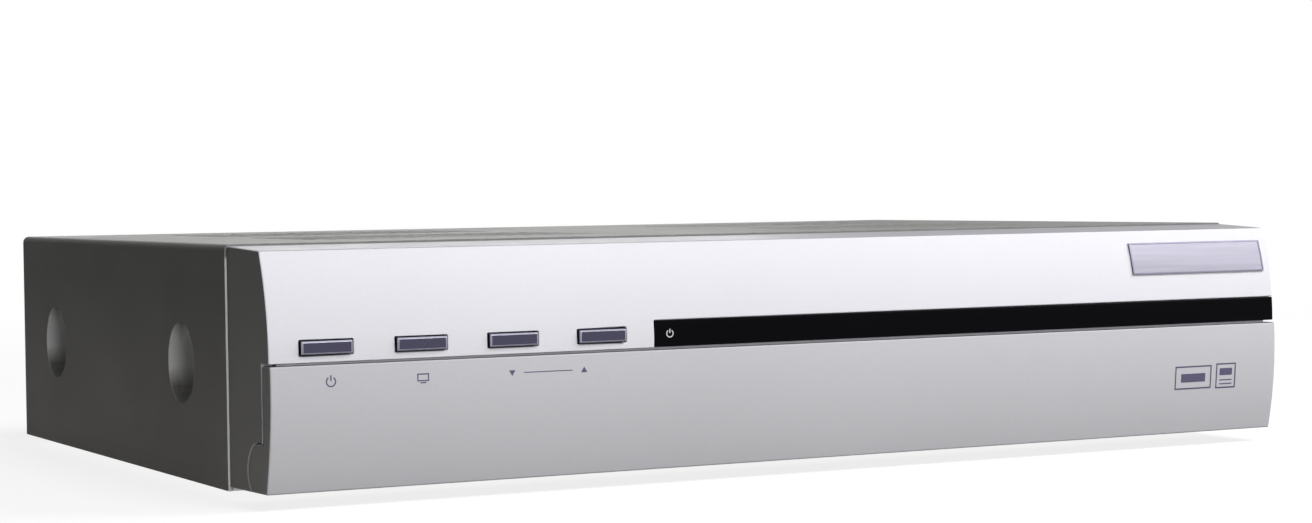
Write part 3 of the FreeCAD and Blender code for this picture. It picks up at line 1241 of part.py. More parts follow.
def power_parts():
    """The transformer, a ribbed heatsink plate and the mains fuse in its clips."""
    middle = f"({POWER_LEFT} + coil_inset)"
    front = "(coil_depth - coil_length / 2)"
    core = seated("transformer_core", middle, f"({front} + coil_length / 3)", BOARD_TOP,
                  ("coil_width", "coil_length / 3", "coil_height"))
    coil = seated("transformer_coil", middle, front, f"({BOARD_TOP} + coil_height / 7)",
                  ("3 * coil_width / 4", "coil_length", "5 * coil_height / 7"))
    keep("transformer", join("transformer_piece", [core, coil]))
    left = f"{POWER_RIGHT} - plate_rib - 2 * plate_wall"
    plate = block("plate_back", (left, behind("plate_depth"), up(BOARD_TOP)),
                  ("plate_wall", "plate_length", "plate_height"))
    step = "(plate_length - plate_wall) / (plate_ribs - 1)"
    ribs = [block(f"plate_rib_{i}", (left, behind(f"(plate_depth + {i} * {step})"), up(BOARD_TOP)),
                  ("plate_wall + plate_rib", "plate_wall", "plate_height"))
            for i in range(int(value("plate_ribs")))]
    keep("power_heatsink", join("power_heatsink_piece", [plate] + ribs))
    axis = f"({POWER_LEFT} + 2 * board_margin + support_barb)"
    start = f"({INLET_FRONT} - fuse_length - fuse_clip)"
    parts = [rod("fuse_tube", (axis, behind(start), up(f"{BOARD_TOP} + fuse_height")), "fuse_radius",
                 "fuse_length", "rear")]
    clip = ("2 * fuse_radius", "fuse_clip", "fuse_height")
    parts += [seated(f"fuse_clip_{i}", axis, depth, BOARD_TOP, clip)
              for i, depth in enumerate((start, f"({start} + fuse_length - fuse_clip)"))]
    keep("mains_fuse", join("mains_fuse_piece", parts))


def wiring():
    """The ribbon from the front board to the main board, the harness between the two inner
    boards, and the four sockets that they plug into."""
    bend, outer = "strap_bend", "(strap_bend + strap)"
    seat = f"({BOARD_TOP} + plug_wide)"
    ribbon_x = f"({HALF} - ribbon_inset)"
    front_end = ahead("(display_reach - board - plug_wide)")
    level = up(f"({DISPLAY_TOP} - plug_wide / 2 + strap / 2)")
    drop = behind("(main_front + board_margin + plug_wide / 2 + strap / 2)")
    ribbon = body("ribbon_strap")
    run = [
        (front_end, level),
        (front_end, f"{level} - strap"),
        (f"{drop} - {outer}", f"{level} - strap", bend, "in"),
        (f"{drop} - strap", f"{level} - {outer}"),
        (f"{drop} - strap", up(seat)),
        (drop, up(seat)),
        (drop, f"{level} - {outer}", outer, "out"),
        (f"{drop} - {outer}", level),
    ]
    pad(ribbon, sketch(ribbon, "YZ_Plane", [run], ribbon_x), "ribbon_width", midplane=True)
    keep("ribbon_cable", ribbon)

    left = f"({POWER_RIGHT} - board_margin - plug_wide / 2 - strap / 2)"
    right = f"({MAIN_LEFT} + board_margin + plug_wide / 2 + strap / 2)"
    top = up("harness_height")
    harness = body("harness_strap")
    arch = [
        (left, up(seat)),
        (f"{left} + strap", up(seat)),
        (f"{left} + strap", f"{top} - {outer}", bend, "in"),
        (f"{left} + {outer}", f"{top} - strap"),
        (f"{right} - {outer}", f"{top} - strap", bend, "in"),
        (f"{right} - strap", f"{top} - {outer}"),
        (f"{right} - strap", up(seat)),
        (right, up(seat)),
        (right, f"{top} - {outer}", outer, "out"),
        (f"{right} - {outer}", top),
        (f"{left} + {outer}", top, outer, "out"),
        (left, f"{top} - {outer}"),
    ]
    pad(harness, front_sketch(harness, [arch], behind("harness_depth")), "harness_width", midplane=True)
    keep("power_harness", harness)

    ribbon_long, harness_long = "(ribbon_width + plug_long)", "(harness_width + plug_long)"
    ribbon_size = (ribbon_long, "plug_wide", "plug_wide")
    sockets = [
        seated("ribbon_socket_front", ribbon_x, "(board - display_reach)",
               f"({DISPLAY_TOP} - plug_wide)", ribbon_size),
        seated("ribbon_socket_main", ribbon_x, "(main_front + board_margin)", BOARD_TOP, ribbon_size),
    ]
    for side, x in (("power", f"({left} + strap / 2)"), ("main", f"({right} - strap / 2)")):
        sockets.append(seated(f"harness_socket_{side}", x, f"(harness_depth - {harness_long} / 2)",
                              BOARD_TOP, ("plug_wide", harness_long, "plug_wide")))
    keep("wire_sockets", gather("wire_sockets_group", sockets))


def cover_screws():
    """The screws that hold the cover's lip on the rear wall."""
    screws = []
    for i, x in enumerate(LIP_SCREWS):
        seat = (x, behind("cover_depth"), LIP_LEVEL)
        shank = rod(f"cover_screw_{i}_shank", seat, "screw_radius", "screw_length", "front")
        head = rod(f"cover_screw_{i}_head", seat, "screw_head_radius", "screw_head", "rear")
        screws.append(join(f"cover_screw_{i}", [shank, head]))
    keep("cover_screws", gather("cover_screws_group", screws))


def build():
    top_cover()
    chassis()
    feet()
    bezel()
    flap()
    window()
    for place, name in enumerate(KEYS):
        key(place, name)
    front_board()
    front_board_parts()
    flat_board("main_board", MAIN_LEFT, MAIN_RIGHT, "main_front", MAIN_SUPPORTS)
    flat_board("power_board", POWER_LEFT, POWER_RIGHT, "power_front", POWER_SUPPORTS)
    board_supports()
    chips()
    capacitors()
    card_reader()
    tuner()
    serial_port()
    scart_sockets()
    phono_jacks()
    mains_inlet()
    rocker_switch()
    power_parts()
    wiring()
    cover_screws()


def check_and_write():
    """Stops with a message if a feature failed, then writes one file for each piece."""
    doc.recompute()
    faults = [f"{made.Name}: {made.State}" for made in doc.Objects
              if "Invalid" in made.State or "Error" in made.State]
    for piece in pieces:
        if piece.Shape.isNull() or not piece.Shape.isValid() or not piece.Shape.Solids:
            faults.append(f"{piece.Label}: no valid solid")
    if faults:
        sys.exit("\n".join(faults))
    os.makedirs("parts", exist_ok=True)
    for piece in pieces:
        piece.Shape.exportStep(os.path.join("parts", f"{piece.Label}.step"))
    print(len(pieces), "pieces")


build()
check_and_write()
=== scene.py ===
"""The looks of a satellite television receiver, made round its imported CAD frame. Metres."""
import json
import math

import bmesh
import bpy
from mathutils import Matrix, Vector

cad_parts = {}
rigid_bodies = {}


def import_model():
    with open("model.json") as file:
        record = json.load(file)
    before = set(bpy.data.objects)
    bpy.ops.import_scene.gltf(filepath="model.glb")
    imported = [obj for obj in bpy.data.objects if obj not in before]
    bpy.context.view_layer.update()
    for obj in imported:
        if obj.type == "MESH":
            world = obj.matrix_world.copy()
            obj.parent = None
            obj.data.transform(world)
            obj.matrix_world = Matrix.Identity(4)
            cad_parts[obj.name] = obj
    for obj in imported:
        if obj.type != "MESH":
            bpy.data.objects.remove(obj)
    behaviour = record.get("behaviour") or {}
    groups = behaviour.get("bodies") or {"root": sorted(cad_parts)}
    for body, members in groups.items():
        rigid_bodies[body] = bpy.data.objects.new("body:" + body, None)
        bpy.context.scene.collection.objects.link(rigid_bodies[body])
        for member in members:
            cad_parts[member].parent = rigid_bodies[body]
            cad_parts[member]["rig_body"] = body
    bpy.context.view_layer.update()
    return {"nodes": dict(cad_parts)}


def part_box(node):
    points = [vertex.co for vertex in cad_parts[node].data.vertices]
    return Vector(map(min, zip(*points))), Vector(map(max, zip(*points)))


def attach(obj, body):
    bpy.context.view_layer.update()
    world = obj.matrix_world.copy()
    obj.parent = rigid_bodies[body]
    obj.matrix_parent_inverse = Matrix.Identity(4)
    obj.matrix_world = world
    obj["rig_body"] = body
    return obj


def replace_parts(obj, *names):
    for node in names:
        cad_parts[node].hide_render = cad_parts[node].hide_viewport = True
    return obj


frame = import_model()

MM = 0.001
NODES = frame["nodes"]
SCENE = bpy.context.scene

SAME_PLACE = 1e-6
SAME_CORNER = 1e-7
FLAT = math.radians(0.5)
SHARP = math.radians(32)
STRIP = 0.8  # the highest strip that still follows a curved face, in millimetres
BUMP = 0.0001
END_TURN = (0.75, 0.85)  # how far a wall's normal points left or right

# Places in millimetres. A front face is an arc: its reach ahead of the seam, radius and crown's height.
SEAM = -77.15
PANEL = (22.3, 64.0, 32.5)
FLAP = (23.2, 88.0, 26.0)
REAR_WALL = 90.35
BOARD_TOP = 11.1
BADGE = (93.4, 44.6, 136.0, 52.5)
AERIALS = ((107.5, 0.0, 19.6), (124.5, 0.0, 19.6))
JACKS = ((-37.5, 0.0, 32.85), (-44.75, 0.0, 18.35), (-30.25, 0.0, 18.35))
SERIAL = (63.5, 17.7)
SCART_ACROSS, SCART_LEVELS = 10.5, (20.1, 37.1)
INLET_PINS = ((-124.3, 0.0, 19.1), (-115.7, 0.0, 19.1))
ROCKER = (-94.0, 89.35, 28.5)
SCREWS = ((-120.0, 0.0, 53.0), (120.0, 0.0, 53.0))

# Bands in metres over which the painted light and shade change: from the middle outwards, or up from the
# table.
SIDES = (0.1345, 0.1350)
DISH_WALLS = (0.1378, 0.1397)
TOP_BEND = (0.0535, 0.0545)
LOW_WALL = (0.008, 0.048)
BROW = 0.045


# --- node trees -------------------------------------------------------------------------------

def put(tree, kind, values=None, **settings):
    """Adds a node; values go to its inputs, and an output given as a value is linked."""
    made = tree.nodes.new(kind)
    for key, value in settings.items():
        setattr(made, key, value)
    for key, value in (values or {}).items():
        if isinstance(value, bpy.types.NodeSocket):
            tree.links.new(value, made.inputs[key])
        else:
            made.inputs[key].default_value = value
    return made


def calc(tree, operation, *values):
    """A calculation on one or more values."""
    return put(tree, "ShaderNodeMath", dict(enumerate(values)), operation=operation).outputs[0]


def mix(tree, factor, first, second):
    """Mixes two colours."""
    made = put(tree, "ShaderNodeMix", data_type="RGBA")
    for place, value in ((0, factor), (6, first), (7, second)):
        if isinstance(value, bpy.types.NodeSocket):
            tree.links.new(value, made.inputs[place])
        else:
            made.inputs[place].default_value = value
    return made.outputs[2]


def spread(tree, value, low, high, to_low, to_high):
    """Turns the range from low to high into another, and holds its ends."""
    made = put(tree, "ShaderNodeMapRange",
               {"Value": value, "From Min": low, "From Max": high, "To Min": to_low, "To Max": to_high})
    return made.outputs[0]


def noise(tree, scale, detail, roughness=0.5, vector=None):
    """A noise that lies still on the piece."""
    values = {"Scale": scale, "Detail": detail, "Roughness": roughness}
    values["Vector"] = vector or put(tree, "ShaderNodeTexCoord").outputs["Object"]
    return put(tree, "ShaderNodeTexNoise", values).outputs[0]


def stretched(tree, along):
    """Object coordinates squeezed by the vector along, which draws a noise out into lines."""
    place = put(tree, "ShaderNodeTexCoord").outputs["Object"]
    return put(tree, "ShaderNodeMapping", {"Vector": place, "Scale": along}).outputs[0]


def facing(tree, smooth=False):
    """How far the surface faces right, back and up; the smooth one turns with its piece."""
    kind, output = ("ShaderNodeTexCoord", "Normal") if smooth else ("ShaderNodeNewGeometry", "True Normal")
    return put(tree, "ShaderNodeSeparateXYZ", {0: put(tree, kind).outputs[output]}).outputs


def object_place(tree):
    """Across, back and up on the piece as it lies at rest."""
    return put(tree, "ShaderNodeSeparateXYZ", {0: put(tree, "ShaderNodeTexCoord").outputs["Object"]}).outputs


def end_facing(tree, low, high):
    """1 on what faces left or right by more than high, 0 by less than low."""
    return spread(tree, calc(tree, "ABSOLUTE", facing(tree)[0]), low, high, 0.0, 1.0)


def effect(name, inputs, output):
    """An empty shader node group with float inputs, and its inputs' and output's nodes."""
    tree = bpy.data.node_groups.new(name, "ShaderNodeTree")
    for label, default in inputs.items():
        socket = tree.interface.new_socket(name=label, in_out="INPUT", socket_type="NodeSocketFloat")
        socket.default_value = default
    tree.interface.new_socket(name=output, in_out="OUTPUT", socket_type="NodeSocketFloat")
    entry = tree.nodes.new("NodeGroupInput")
    leave = tree.nodes.new("NodeGroupOutput")
    return tree, entry.outputs, leave.inputs[0]


def mottle_effect():
    """Fine flakes over slow patches, as in sprayed paint: a factor round 1."""
    tree, given, out = effect("mottle", {"Flake": 3000.0, "Patch": 18.0, "Amount": 0.04}, "Factor")
    fine = spread(tree, noise(tree, given["Flake"], 1.0), 0.3, 0.7, -1.0, 1.0)
    slow = spread(tree, noise(tree, given["Patch"], 3.0), 0.3, 0.7, -0.5, 0.5)
    both = calc(tree, "ADD", fine, slow)
    tree.links.new(calc(tree, "MULTIPLY_ADD", both, given["Amount"], 1.0), out)
    return tree


def grain_effect():
    """A moulded or sprayed surface's fine height."""
    tree, given, out = effect("fine_grain", {"Scale": 1800.0, "Detail": 3.0}, "Height")
    tree.links.new(noise(tree, given["Scale"], given["Detail"], 0.6), out)
    return tree


def dust_effect():
    """Dust on what faces up, in uneven patches: a mask."""
    tree, given, out = effect("settled_dust", {"Amount": 0.2, "Scale": 60.0}, "Mask")
    upward = spread(tree, facing(tree, smooth=True)[2], 0.5, 1.0, 0.0, 1.0)
    patch = spread(tree, noise(tree, given["Scale"], 4.0, 0.65), 0.4, 0.7, 0.2, 1.0)
    tree.links.new(calc(tree, "MULTIPLY", calc(tree, "MULTIPLY", upward, patch), given["Amount"]), out)
    return tree


def wear_effect():
    """Edges where hands and handling have worn the finish: a mask."""
    tree, given, out = effect("rubbed_edges", {"Radius": 0.0004, "Amount": 0.5}, "Mask")
    normal = put(tree, "ShaderNodeNewGeometry").outputs["Normal"]
    rounded = put(tree, "ShaderNodeBevel", {"Radius": given["Radius"]}, samples=4).outputs[0]
    dot = put(tree, "ShaderNodeVectorMath", {0: normal, 1: rounded}, operation="DOT_PRODUCT")
    edge = spread(tree, dot.outputs["Value"], 0.995, 0.9, 0.0, 1.0)
    broken = spread(tree, noise(tree, 220.0, 4.0, 0.7), 0.42, 0.62, 0.0, 1.0)
    tree.links.new(calc(tree, "MULTIPLY", calc(tree, "MULTIPLY", edge, broken), given["Amount"]), out)
    return tree


def end_shade_effect():
    """Walls that face left or right, which get a darker grey as painted shade: a mask."""
    tree, given, out = effect("shaded_end_walls", {"From": END_TURN[0], "To": END_TURN[1]}, "Mask")
    tree.links.new(end_facing(tree, given["From"], given["To"]), out)
    return tree


def top_shade_effect():
    """What faces up above a level, such as a moulding's top lip, which gets a painted shade: a mask."""
    tree, given, out = effect("painted_top_shade", {"Level": 0.0}, "Mask")
    above = calc(tree, "GREATER_THAN", object_place(tree)[2], given["Level"])
    upward = spread(tree, facing(tree, smooth=True)[2], 0.60, 0.85, 0.0, 1.0)
    tree.links.new(calc(tree, "MULTIPLY", upward, above), out)
    return tree


def wall_base_light_effect():
    """Painted light low on the walls that face left or right, strongest at the bottom: a mask."""
    tree, given, out = effect("painted_wall_base_light", {"Amount": 0.5}, "Mask")
    low = spread(tree, object_place(tree)[2], *LOW_WALL, 1.0, 0.0)
    lit_low = calc(tree, "MULTIPLY", end_facing(tree, *END_TURN), low)
    tree.links.new(calc(tree, "MULTIPLY", lit_low, given["Amount"]), out)
    return tree


EFFECTS = {tree.name: tree for tree in (mottle_effect(), grain_effect(), dust_effect(), wear_effect(),
                                        end_shade_effect(), top_shade_effect(), wall_base_light_effect())}


def use(tree, name, **values):
    """Places an effect's group in a material with its own values; gives its output."""
    made = tree.nodes.new("ShaderNodeGroup")
    made.node_tree = EFFECTS[name]
    for label, value in values.items():
        made.inputs[label].default_value = value
    return made.outputs[0]


# --- finishes ---------------------------------------------------------------------------------

# The pale tone of settled dust, which is also the painted light low on the end walls.
DUST_AND_LOW_LIGHT_TONE = (0.42, 0.40, 0.37, 1.0)
COVER_GREY = (0.205, 0.205, 0.194, 1.0)
# A darker grey painted on the end walls as shade.
END_SHADE_GREY = (0.168, 0.168, 0.158, 1.0)
WORN_TONE = (0.7, 0.7, 0.7, 1.0)


def blank(name):
    """A material with an empty tree but for its Principled shader."""
    made = bpy.data.materials.new(name)
    made.use_nodes = True
    tree = made.node_tree
    shader = next(n for n in tree.nodes if n.type == "BSDF_PRINCIPLED")
    return made, tree, shader


def bumped(tree, shader, height, strength, distance=BUMP):
    """Gives a finish its fine relief."""
    made = put(tree, "ShaderNodeBump", {"Height": height, "Strength": strength, "Distance": distance})
    tree.links.new(made.outputs[0], shader.inputs["Normal"])


def times(tree, colour, factor):
    """A colour made lighter or darker by a factor that changes over the surface."""
    made = put(tree, "ShaderNodeVectorMath", {0: colour[:3], "Scale": factor}, operation="SCALE")
    return made.outputs[0]


def chamfers(tree):
    """1 on a key's chamfers, which lean between its face and its sides and get a painted highlight."""
    forward = calc(tree, "ABSOLUTE", facing(tree)[1])
    leaning = spread(tree, forward, 0.90, 0.97, 1.0, 0.0)
    return calc(tree, "MULTIPLY", leaning, spread(tree, forward, 0.2, 0.4, 0.0, 1.0))


def highlight_slopes(tree):
    """1 where the cover gets a painted highlight: inside the side dishes and on its front edge."""
    facings = facing(tree, smooth=True)
    forward = spread(tree, calc(tree, "MULTIPLY", facings[1], -1.0), 0.0, 0.50, 0.0, 1.0)
    not_up = spread(tree, facings[2], 0.10, 0.45, 1.0, 0.0)
    place = object_place(tree)
    outwards = calc(tree, "ABSOLUTE", place[0])
    at_side = spread(tree, outwards, *SIDES, 0.0, 1.0)
    below_top = spread(tree, place[2], *TOP_BEND, 1.0, 0.0)
    inside_dish = spread(tree, outwards, *DISH_WALLS, 1.0, 0.0)
    lit_slopes = calc(tree, "MAXIMUM", forward, inside_dish)
    return calc(tree, "MULTIPLY", calc(tree, "MULTIPLY", lit_slopes, not_up),
                calc(tree, "MULTIPLY", at_side, below_top))


def finish(name, colour, roughness, metallic=0.0, *, mottle, grain, flake=3000.0, grain_scale=1800.0,
           dust=0.1, low_light=0.0, wear=0.0, end_shade_tone=None, chamfer_highlight_tone=None, highlight_tone=None, top_shade_tone=None,
           top_shade_level=0.0, smear=0.06, **sockets):
    """A solid finish: its colour varies a little, its roughness is smeared, and it has a fine grain and
    some dust on top. Where they are given it also has worn edges, painted light low on its end walls,
    painted shade on its end walls and on what faces up above a level, and painted highlights on a key's
    chamfer faces and on the cover's dishes and front edge."""
    made, tree, shader = blank(name)
    shade = use(tree, "mottle", Flake=flake, Amount=mottle)
    tone = times(tree, colour, shade)
    # Painted shade on the end walls.
    if end_shade_tone:
        tone = mix(tree, use(tree, "shaded_end_walls"), tone, times(tree, end_shade_tone, shade))
    if wear:
        tone = mix(tree, use(tree, "rubbed_edges", Amount=wear), tone, WORN_TONE)
    # Painted light low on the end walls.
    if low_light:
        tone = mix(tree, use(tree, "painted_wall_base_light", Amount=low_light), tone, DUST_AND_LOW_LIGHT_TONE)
    # Painted highlights: on a key's chamfers, and in the cover's side dishes and on its front edge.
    for mask, new in ((chamfers, chamfer_highlight_tone), (highlight_slopes, highlight_tone)):
        if new:
            tone = mix(tree, mask(tree), tone, new)
    # Painted shade on what faces up above a level.
    if top_shade_tone:
        tone = mix(tree, use(tree, "painted_top_shade", Level=top_shade_level), tone, top_shade_tone)
    dusty = use(tree, "settled_dust", Amount=dust)
    tree.links.new(mix(tree, dusty, tone, DUST_AND_LOW_LIGHT_TONE), shader.inputs["Base Color"])
    smeared = spread(tree, noise(tree, 45.0, 4.0, 0.6), 0.35, 0.65, roughness - smear, roughness + smear)
    tree.links.new(calc(tree, "MULTIPLY_ADD", dusty, 0.3, smeared), shader.inputs["Roughness"])
    shader.inputs["Metallic"].default_value = metallic
    bumped(tree, shader, use(tree, "fine_grain", Scale=grain_scale), grain)
    for socket, value in sockets.items():
        shader.inputs[socket.replace("_", " ").title().replace("Ior", "IOR")].default_value = value
    return made


def brushed(name, colour, roughness, along, metallic=1.0):
    """Metal with fine drawn lines, squeezed by along."""
    made, tree, shader = blank(name)
    lines = noise(tree, 900.0, 3.0, 0.6, stretched(tree, along))
    tone = times(tree, colour, spread(tree, lines, 0.3, 0.7, 0.86, 1.1))
    dusty = use(tree, "settled_dust", Amount=0.05)
    tree.links.new(mix(tree, dusty, tone, DUST_AND_LOW_LIGHT_TONE), shader.inputs["Base Color"])
    tree.links.new(spread(tree, lines, 0.3, 0.7, roughness - 0.08, roughness + 0.08),
                   shader.inputs["Roughness"])
    shader.inputs["Metallic"].default_value = metallic
    bumped(tree, shader, lines, 0.15)
    return made


def board_finish():
    """Green resist over copper tracks, with bare pads."""
    made, tree, shader = blank("board_resist")
    place = stretched(tree, (1.0, 1.0, 1.0))
    tracks = put(tree, "ShaderNodeTexBrick", {
        "Vector": place, "Scale": 260.0, "Color1": (0, 0, 0, 1), "Color2": (0.25, 0.25, 0.25, 1),
        "Mortar": (1, 1, 1, 1), "Mortar Size": 0.08, "Brick Width": 1.7, "Row Height": 0.45}, offset=0.37)
    pads = put(tree, "ShaderNodeTexVoronoi", {"Vector": place, "Scale": 330.0, "Randomness": 0.35})
    pad_mask = calc(tree, "LESS_THAN", pads.outputs["Distance"], 0.17)
    bundles = spread(tree, noise(tree, 55.0, 2.0, 0.5), 0.46, 0.56, 0.0, 1.0)
    routed = calc(tree, "MULTIPLY", tracks.outputs["Fac"], bundles)
    green = mix(tree, routed, (0.012, 0.085, 0.03, 1), (0.03, 0.17, 0.06, 1))
    tone = mix(tree, pad_mask, green, (0.62, 0.60, 0.55, 1))
    dusty = use(tree, "settled_dust", Amount=0.25)
    tree.links.new(mix(tree, dusty, tone, DUST_AND_LOW_LIGHT_TONE), shader.inputs["Base Color"])
    tree.links.new(calc(tree, "MULTIPLY", pad_mask, 0.9), shader.inputs["Metallic"])
    shader.inputs["Roughness"].default_value = 0.34
    bumped(tree, shader, calc(tree, "MAXIMUM", routed, pad_mask), 0.4)
    return made


def banded(name, base, line, scale, axis, roughness):
    """Plastic with straight lines across it, such as a flat cable's wires or a coil's turns."""
    made, tree, shader = blank(name)
    wave = put(tree, "ShaderNodeTexWave", {"Scale": scale, "Distortion": 0.4, "Detail": 1.0,
                                           "Vector": stretched(tree, (1.0, 1.0, 1.0))},
               wave_type="BANDS", bands_direction=axis)
    between = wave.outputs["Fac"]
    tree.links.new(mix(tree, between, line, base), shader.inputs["Base Color"])
    tree.links.new(spread(tree, between, 0.0, 1.0, roughness + 0.15, roughness), shader.inputs["Roughness"])
    bumped(tree, shader, between, 0.5, 3 * BUMP)
    return made


def glass_finish():
    """The fuse's clear tube, a little smeared."""
    made, tree, shader = blank("fuse_glass_tube")
    shader.inputs["Base Color"].default_value = (0.9, 0.93, 0.92, 1)
    shader.inputs["Transmission Weight"].default_value = 0.85
    tree.links.new(spread(tree, noise(tree, 300.0, 3.0), 0.3, 0.7, 0.03, 0.12), shader.inputs["Roughness"])
    return made


FINISHES = {
    # The cover has a painted highlight in its side dishes and on its front edge, and painted light low on its
    # side walls.
    "cover_paint": finish("cover_satin_paint", COVER_GREY, 0.55, mottle=0.05, grain=0.25,
                          grain_scale=2600.0, dust=0.10, wear=0.35, highlight_tone=(0.78, 0.78, 0.75, 1.0),
                          low_light=1.0, smear=0.03, specular_ior_level=0.02),
    "zinc_sheet": brushed("zinc_plated_sheet", (0.44, 0.44, 0.43, 1), 0.36, (1.0, 0.12, 1.0)),
    "foot_rubber": finish("foot_rubber", (0.022, 0.022, 0.022, 1), 0.78, mottle=0.15, grain=0.5,
                          grain_scale=1500.0),
    # The bezel has painted shade on its end walls, a painted dark reflection on its top brow and painted
    # light low on its end walls.
    "bezel_silver": finish("bezel_silver_paint", (0.72, 0.72, 0.735, 1), 0.42, mottle=0.022, flake=4200.0,
                           grain=0.06, grain_scale=3200.0, dust=0.04, wear=0.10, end_shade_tone=END_SHADE_GREY,
                           top_shade_tone=(0.28, 0.275, 0.29, 1.0), top_shade_level=BROW, low_light=0.45, smear=0.03,
                           specular_ior_level=0.04),
    # The flap has painted shade on its end walls, a painted groove shadow on its top edge and painted light
    # low on its end walls.
    "flap_silver": finish("flap_silver_paint", (0.545, 0.545, 0.55, 1), 0.46, mottle=0.025, flake=4200.0,
                          grain=0.10, grain_scale=3200.0, dust=0.04, wear=0.12, end_shade_tone=END_SHADE_GREY,
                          top_shade_tone=(0.062, 0.058, 0.080, 1.0), top_shade_level=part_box("flap")[1].z - 0.001,
                          low_light=0.45, smear=0.03, specular_ior_level=0.06),
    "window_black": finish("window_gloss", (0.003, 0.003, 0.004, 1), 0.06, mottle=0.05, grain=0.0, dust=0.01,
                           smear=0.02, specular_ior_level=0.02),
    # The keys have a painted highlight on their chamfers.
    "key_chrome": finish("key_dark_plating", (0.045, 0.042, 0.078, 1), 0.24, 0.35, mottle=0.03, grain=0.03,
                         dust=0.03, chamfer_highlight_tone=(0.36, 0.36, 0.43, 1.0), smear=0.04),
    "black_moulding": finish("black_moulded_plastic", (0.022, 0.022, 0.023, 1), 0.52, mottle=0.12, grain=0.35,
                             grain_scale=1400.0, dust=0.08),
    "board_green": board_finish(),
    "display_face": finish("display_red_face", (0.09, 0.012, 0.012, 1), 0.22, mottle=0.05, grain=0.05),
    "lamp_lens": finish("lamp_red_resin", (0.55, 0.02, 0.015, 1), 0.12, mottle=0.04, grain=0.03),
    "eye_resin": finish("eye_dark_resin", (0.03, 0.008, 0.03, 1), 0.10, mottle=0.04, grain=0.03),
    "support_nylon": finish("support_nylon", (0.70, 0.68, 0.61, 1), 0.48, mottle=0.05, grain=0.15),
    "chip_resin": finish("chip_black_resin", (0.020, 0.020, 0.022, 1), 0.58, mottle=0.10, grain=0.5,
                         grain_scale=2600.0, dust=0.2),
    "heatsink_aluminium": brushed("drawn_aluminium", (0.68, 0.69, 0.70, 1), 0.34, (1.0, 1.0, 0.04)),
    "capacitor_sleeve": finish("capacitor_sleeve", (0.018, 0.030, 0.10, 1), 0.30, mottle=0.08, grain=0.10,
                               dust=0.15),
    "tinplate": brushed("bright_tinplate", (0.66, 0.66, 0.63, 1), 0.26, (0.05, 1.0, 1.0)),
    "nickel": finish("nickel_plating", (0.46, 0.445, 0.41, 1), 0.24, 1.0, mottle=0.05, grain=0.05, dust=0.05,
                     smear=0.08),
    "video_yellow": finish("jack_yellow", (0.75, 0.48, 0.012, 1), 0.33, mottle=0.04, grain=0.1, dust=0.05),
    "audio_red": finish("jack_red", (0.50, 0.014, 0.014, 1), 0.33, mottle=0.05, grain=0.1, dust=0.05),
    "audio_white": finish("jack_white", (0.76, 0.76, 0.73, 1), 0.33, mottle=0.03, grain=0.1, dust=0.05),
    "rocker_black": finish("rocker_semi_gloss", (0.016, 0.016, 0.016, 1), 0.28, mottle=0.1, grain=0.12,
                           dust=0.05),
    "transformer_core": banded("taped_coil", (0.42, 0.28, 0.04, 1), (0.20, 0.12, 0.02, 1), 320.0, "Z", 0.35),
    "fuse_glass": glass_finish(),
    "strap_grey": banded("ribbon_grey", (0.50, 0.51, 0.53, 1), (0.16, 0.16, 0.17, 1), 390.0, "X", 0.45),
    "socket_white": finish("socket_nylon", (0.74, 0.72, 0.65, 1), 0.45, mottle=0.05, grain=0.15),
}
MARK_GREY = finish("mark_print", (0.07, 0.062, 0.12, 1), 0.5, mottle=0.06, grain=0.1, dust=0.02)
MARK_WHITE = finish("mark_white_print", (0.62, 0.62, 0.64, 1), 0.45, mottle=0.05, grain=0.1, dust=0.02)
PLATE = brushed("badge_plate_brushed", (0.36, 0.35, 0.41, 1), 0.45, (0.02, 1.0, 1.0), metallic=0.15)
PLATE_EDGE = finish("badge_plate_rim", (0.20, 0.19, 0.26, 1), 0.35, 0.3, mottle=0.05, grain=0.1)
FERRITE = finish("ferrite_core", (0.045, 0.043, 0.042, 1), 0.6, mottle=0.12, grain=0.3, grain_scale=1500.0)
CERAMIC = finish("ceramic_part", (0.42, 0.33, 0.22, 1), 0.5, mottle=0.1, grain=0.1)
INSULATOR = finish("jack_insulator", (0.012, 0.012, 0.012, 1), 0.42, mottle=0.08, grain=0.15)


# --- pieces -----------------------------------------------------------------------------------

def placed(name, mesh, slot, body="receiver", material=None):
    """Puts a finished mesh in the scene as a piece of the object."""
    made = bpy.data.objects.new(name, mesh)
    SCENE.collection.objects.link(made)
    mesh.materials.clear()
    mesh.materials.append(material or FINISHES[slot])
    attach(made, body)
    return made


def settled(made):
    """The mesh that an object's modifiers give, as a plain mesh."""
    graph = bpy.context.evaluated_depsgraph_get()
    mesh = bpy.data.meshes.new_from_object(made.evaluated_get(graph), depsgraph=graph)
    bpy.data.objects.remove(made)
    return mesh


def ease(bm, width):
    """Marks the sharp edges that have room for an eased corner of this width."""
    weight = bm.edges.layers.float.new("bevel_weight_edge")
    for edge in bm.edges:
        if len(edge.link_faces) != 2 or edge.calc_face_angle(0.0) < SHARP:
            continue
        near = [e for v in edge.verts for e in v.link_edges if e is not edge]
        if min(e.calc_length() for e in near) > 2.4 * width and edge.calc_length() > 1.2 * width:
            edge[weight] = 1.0


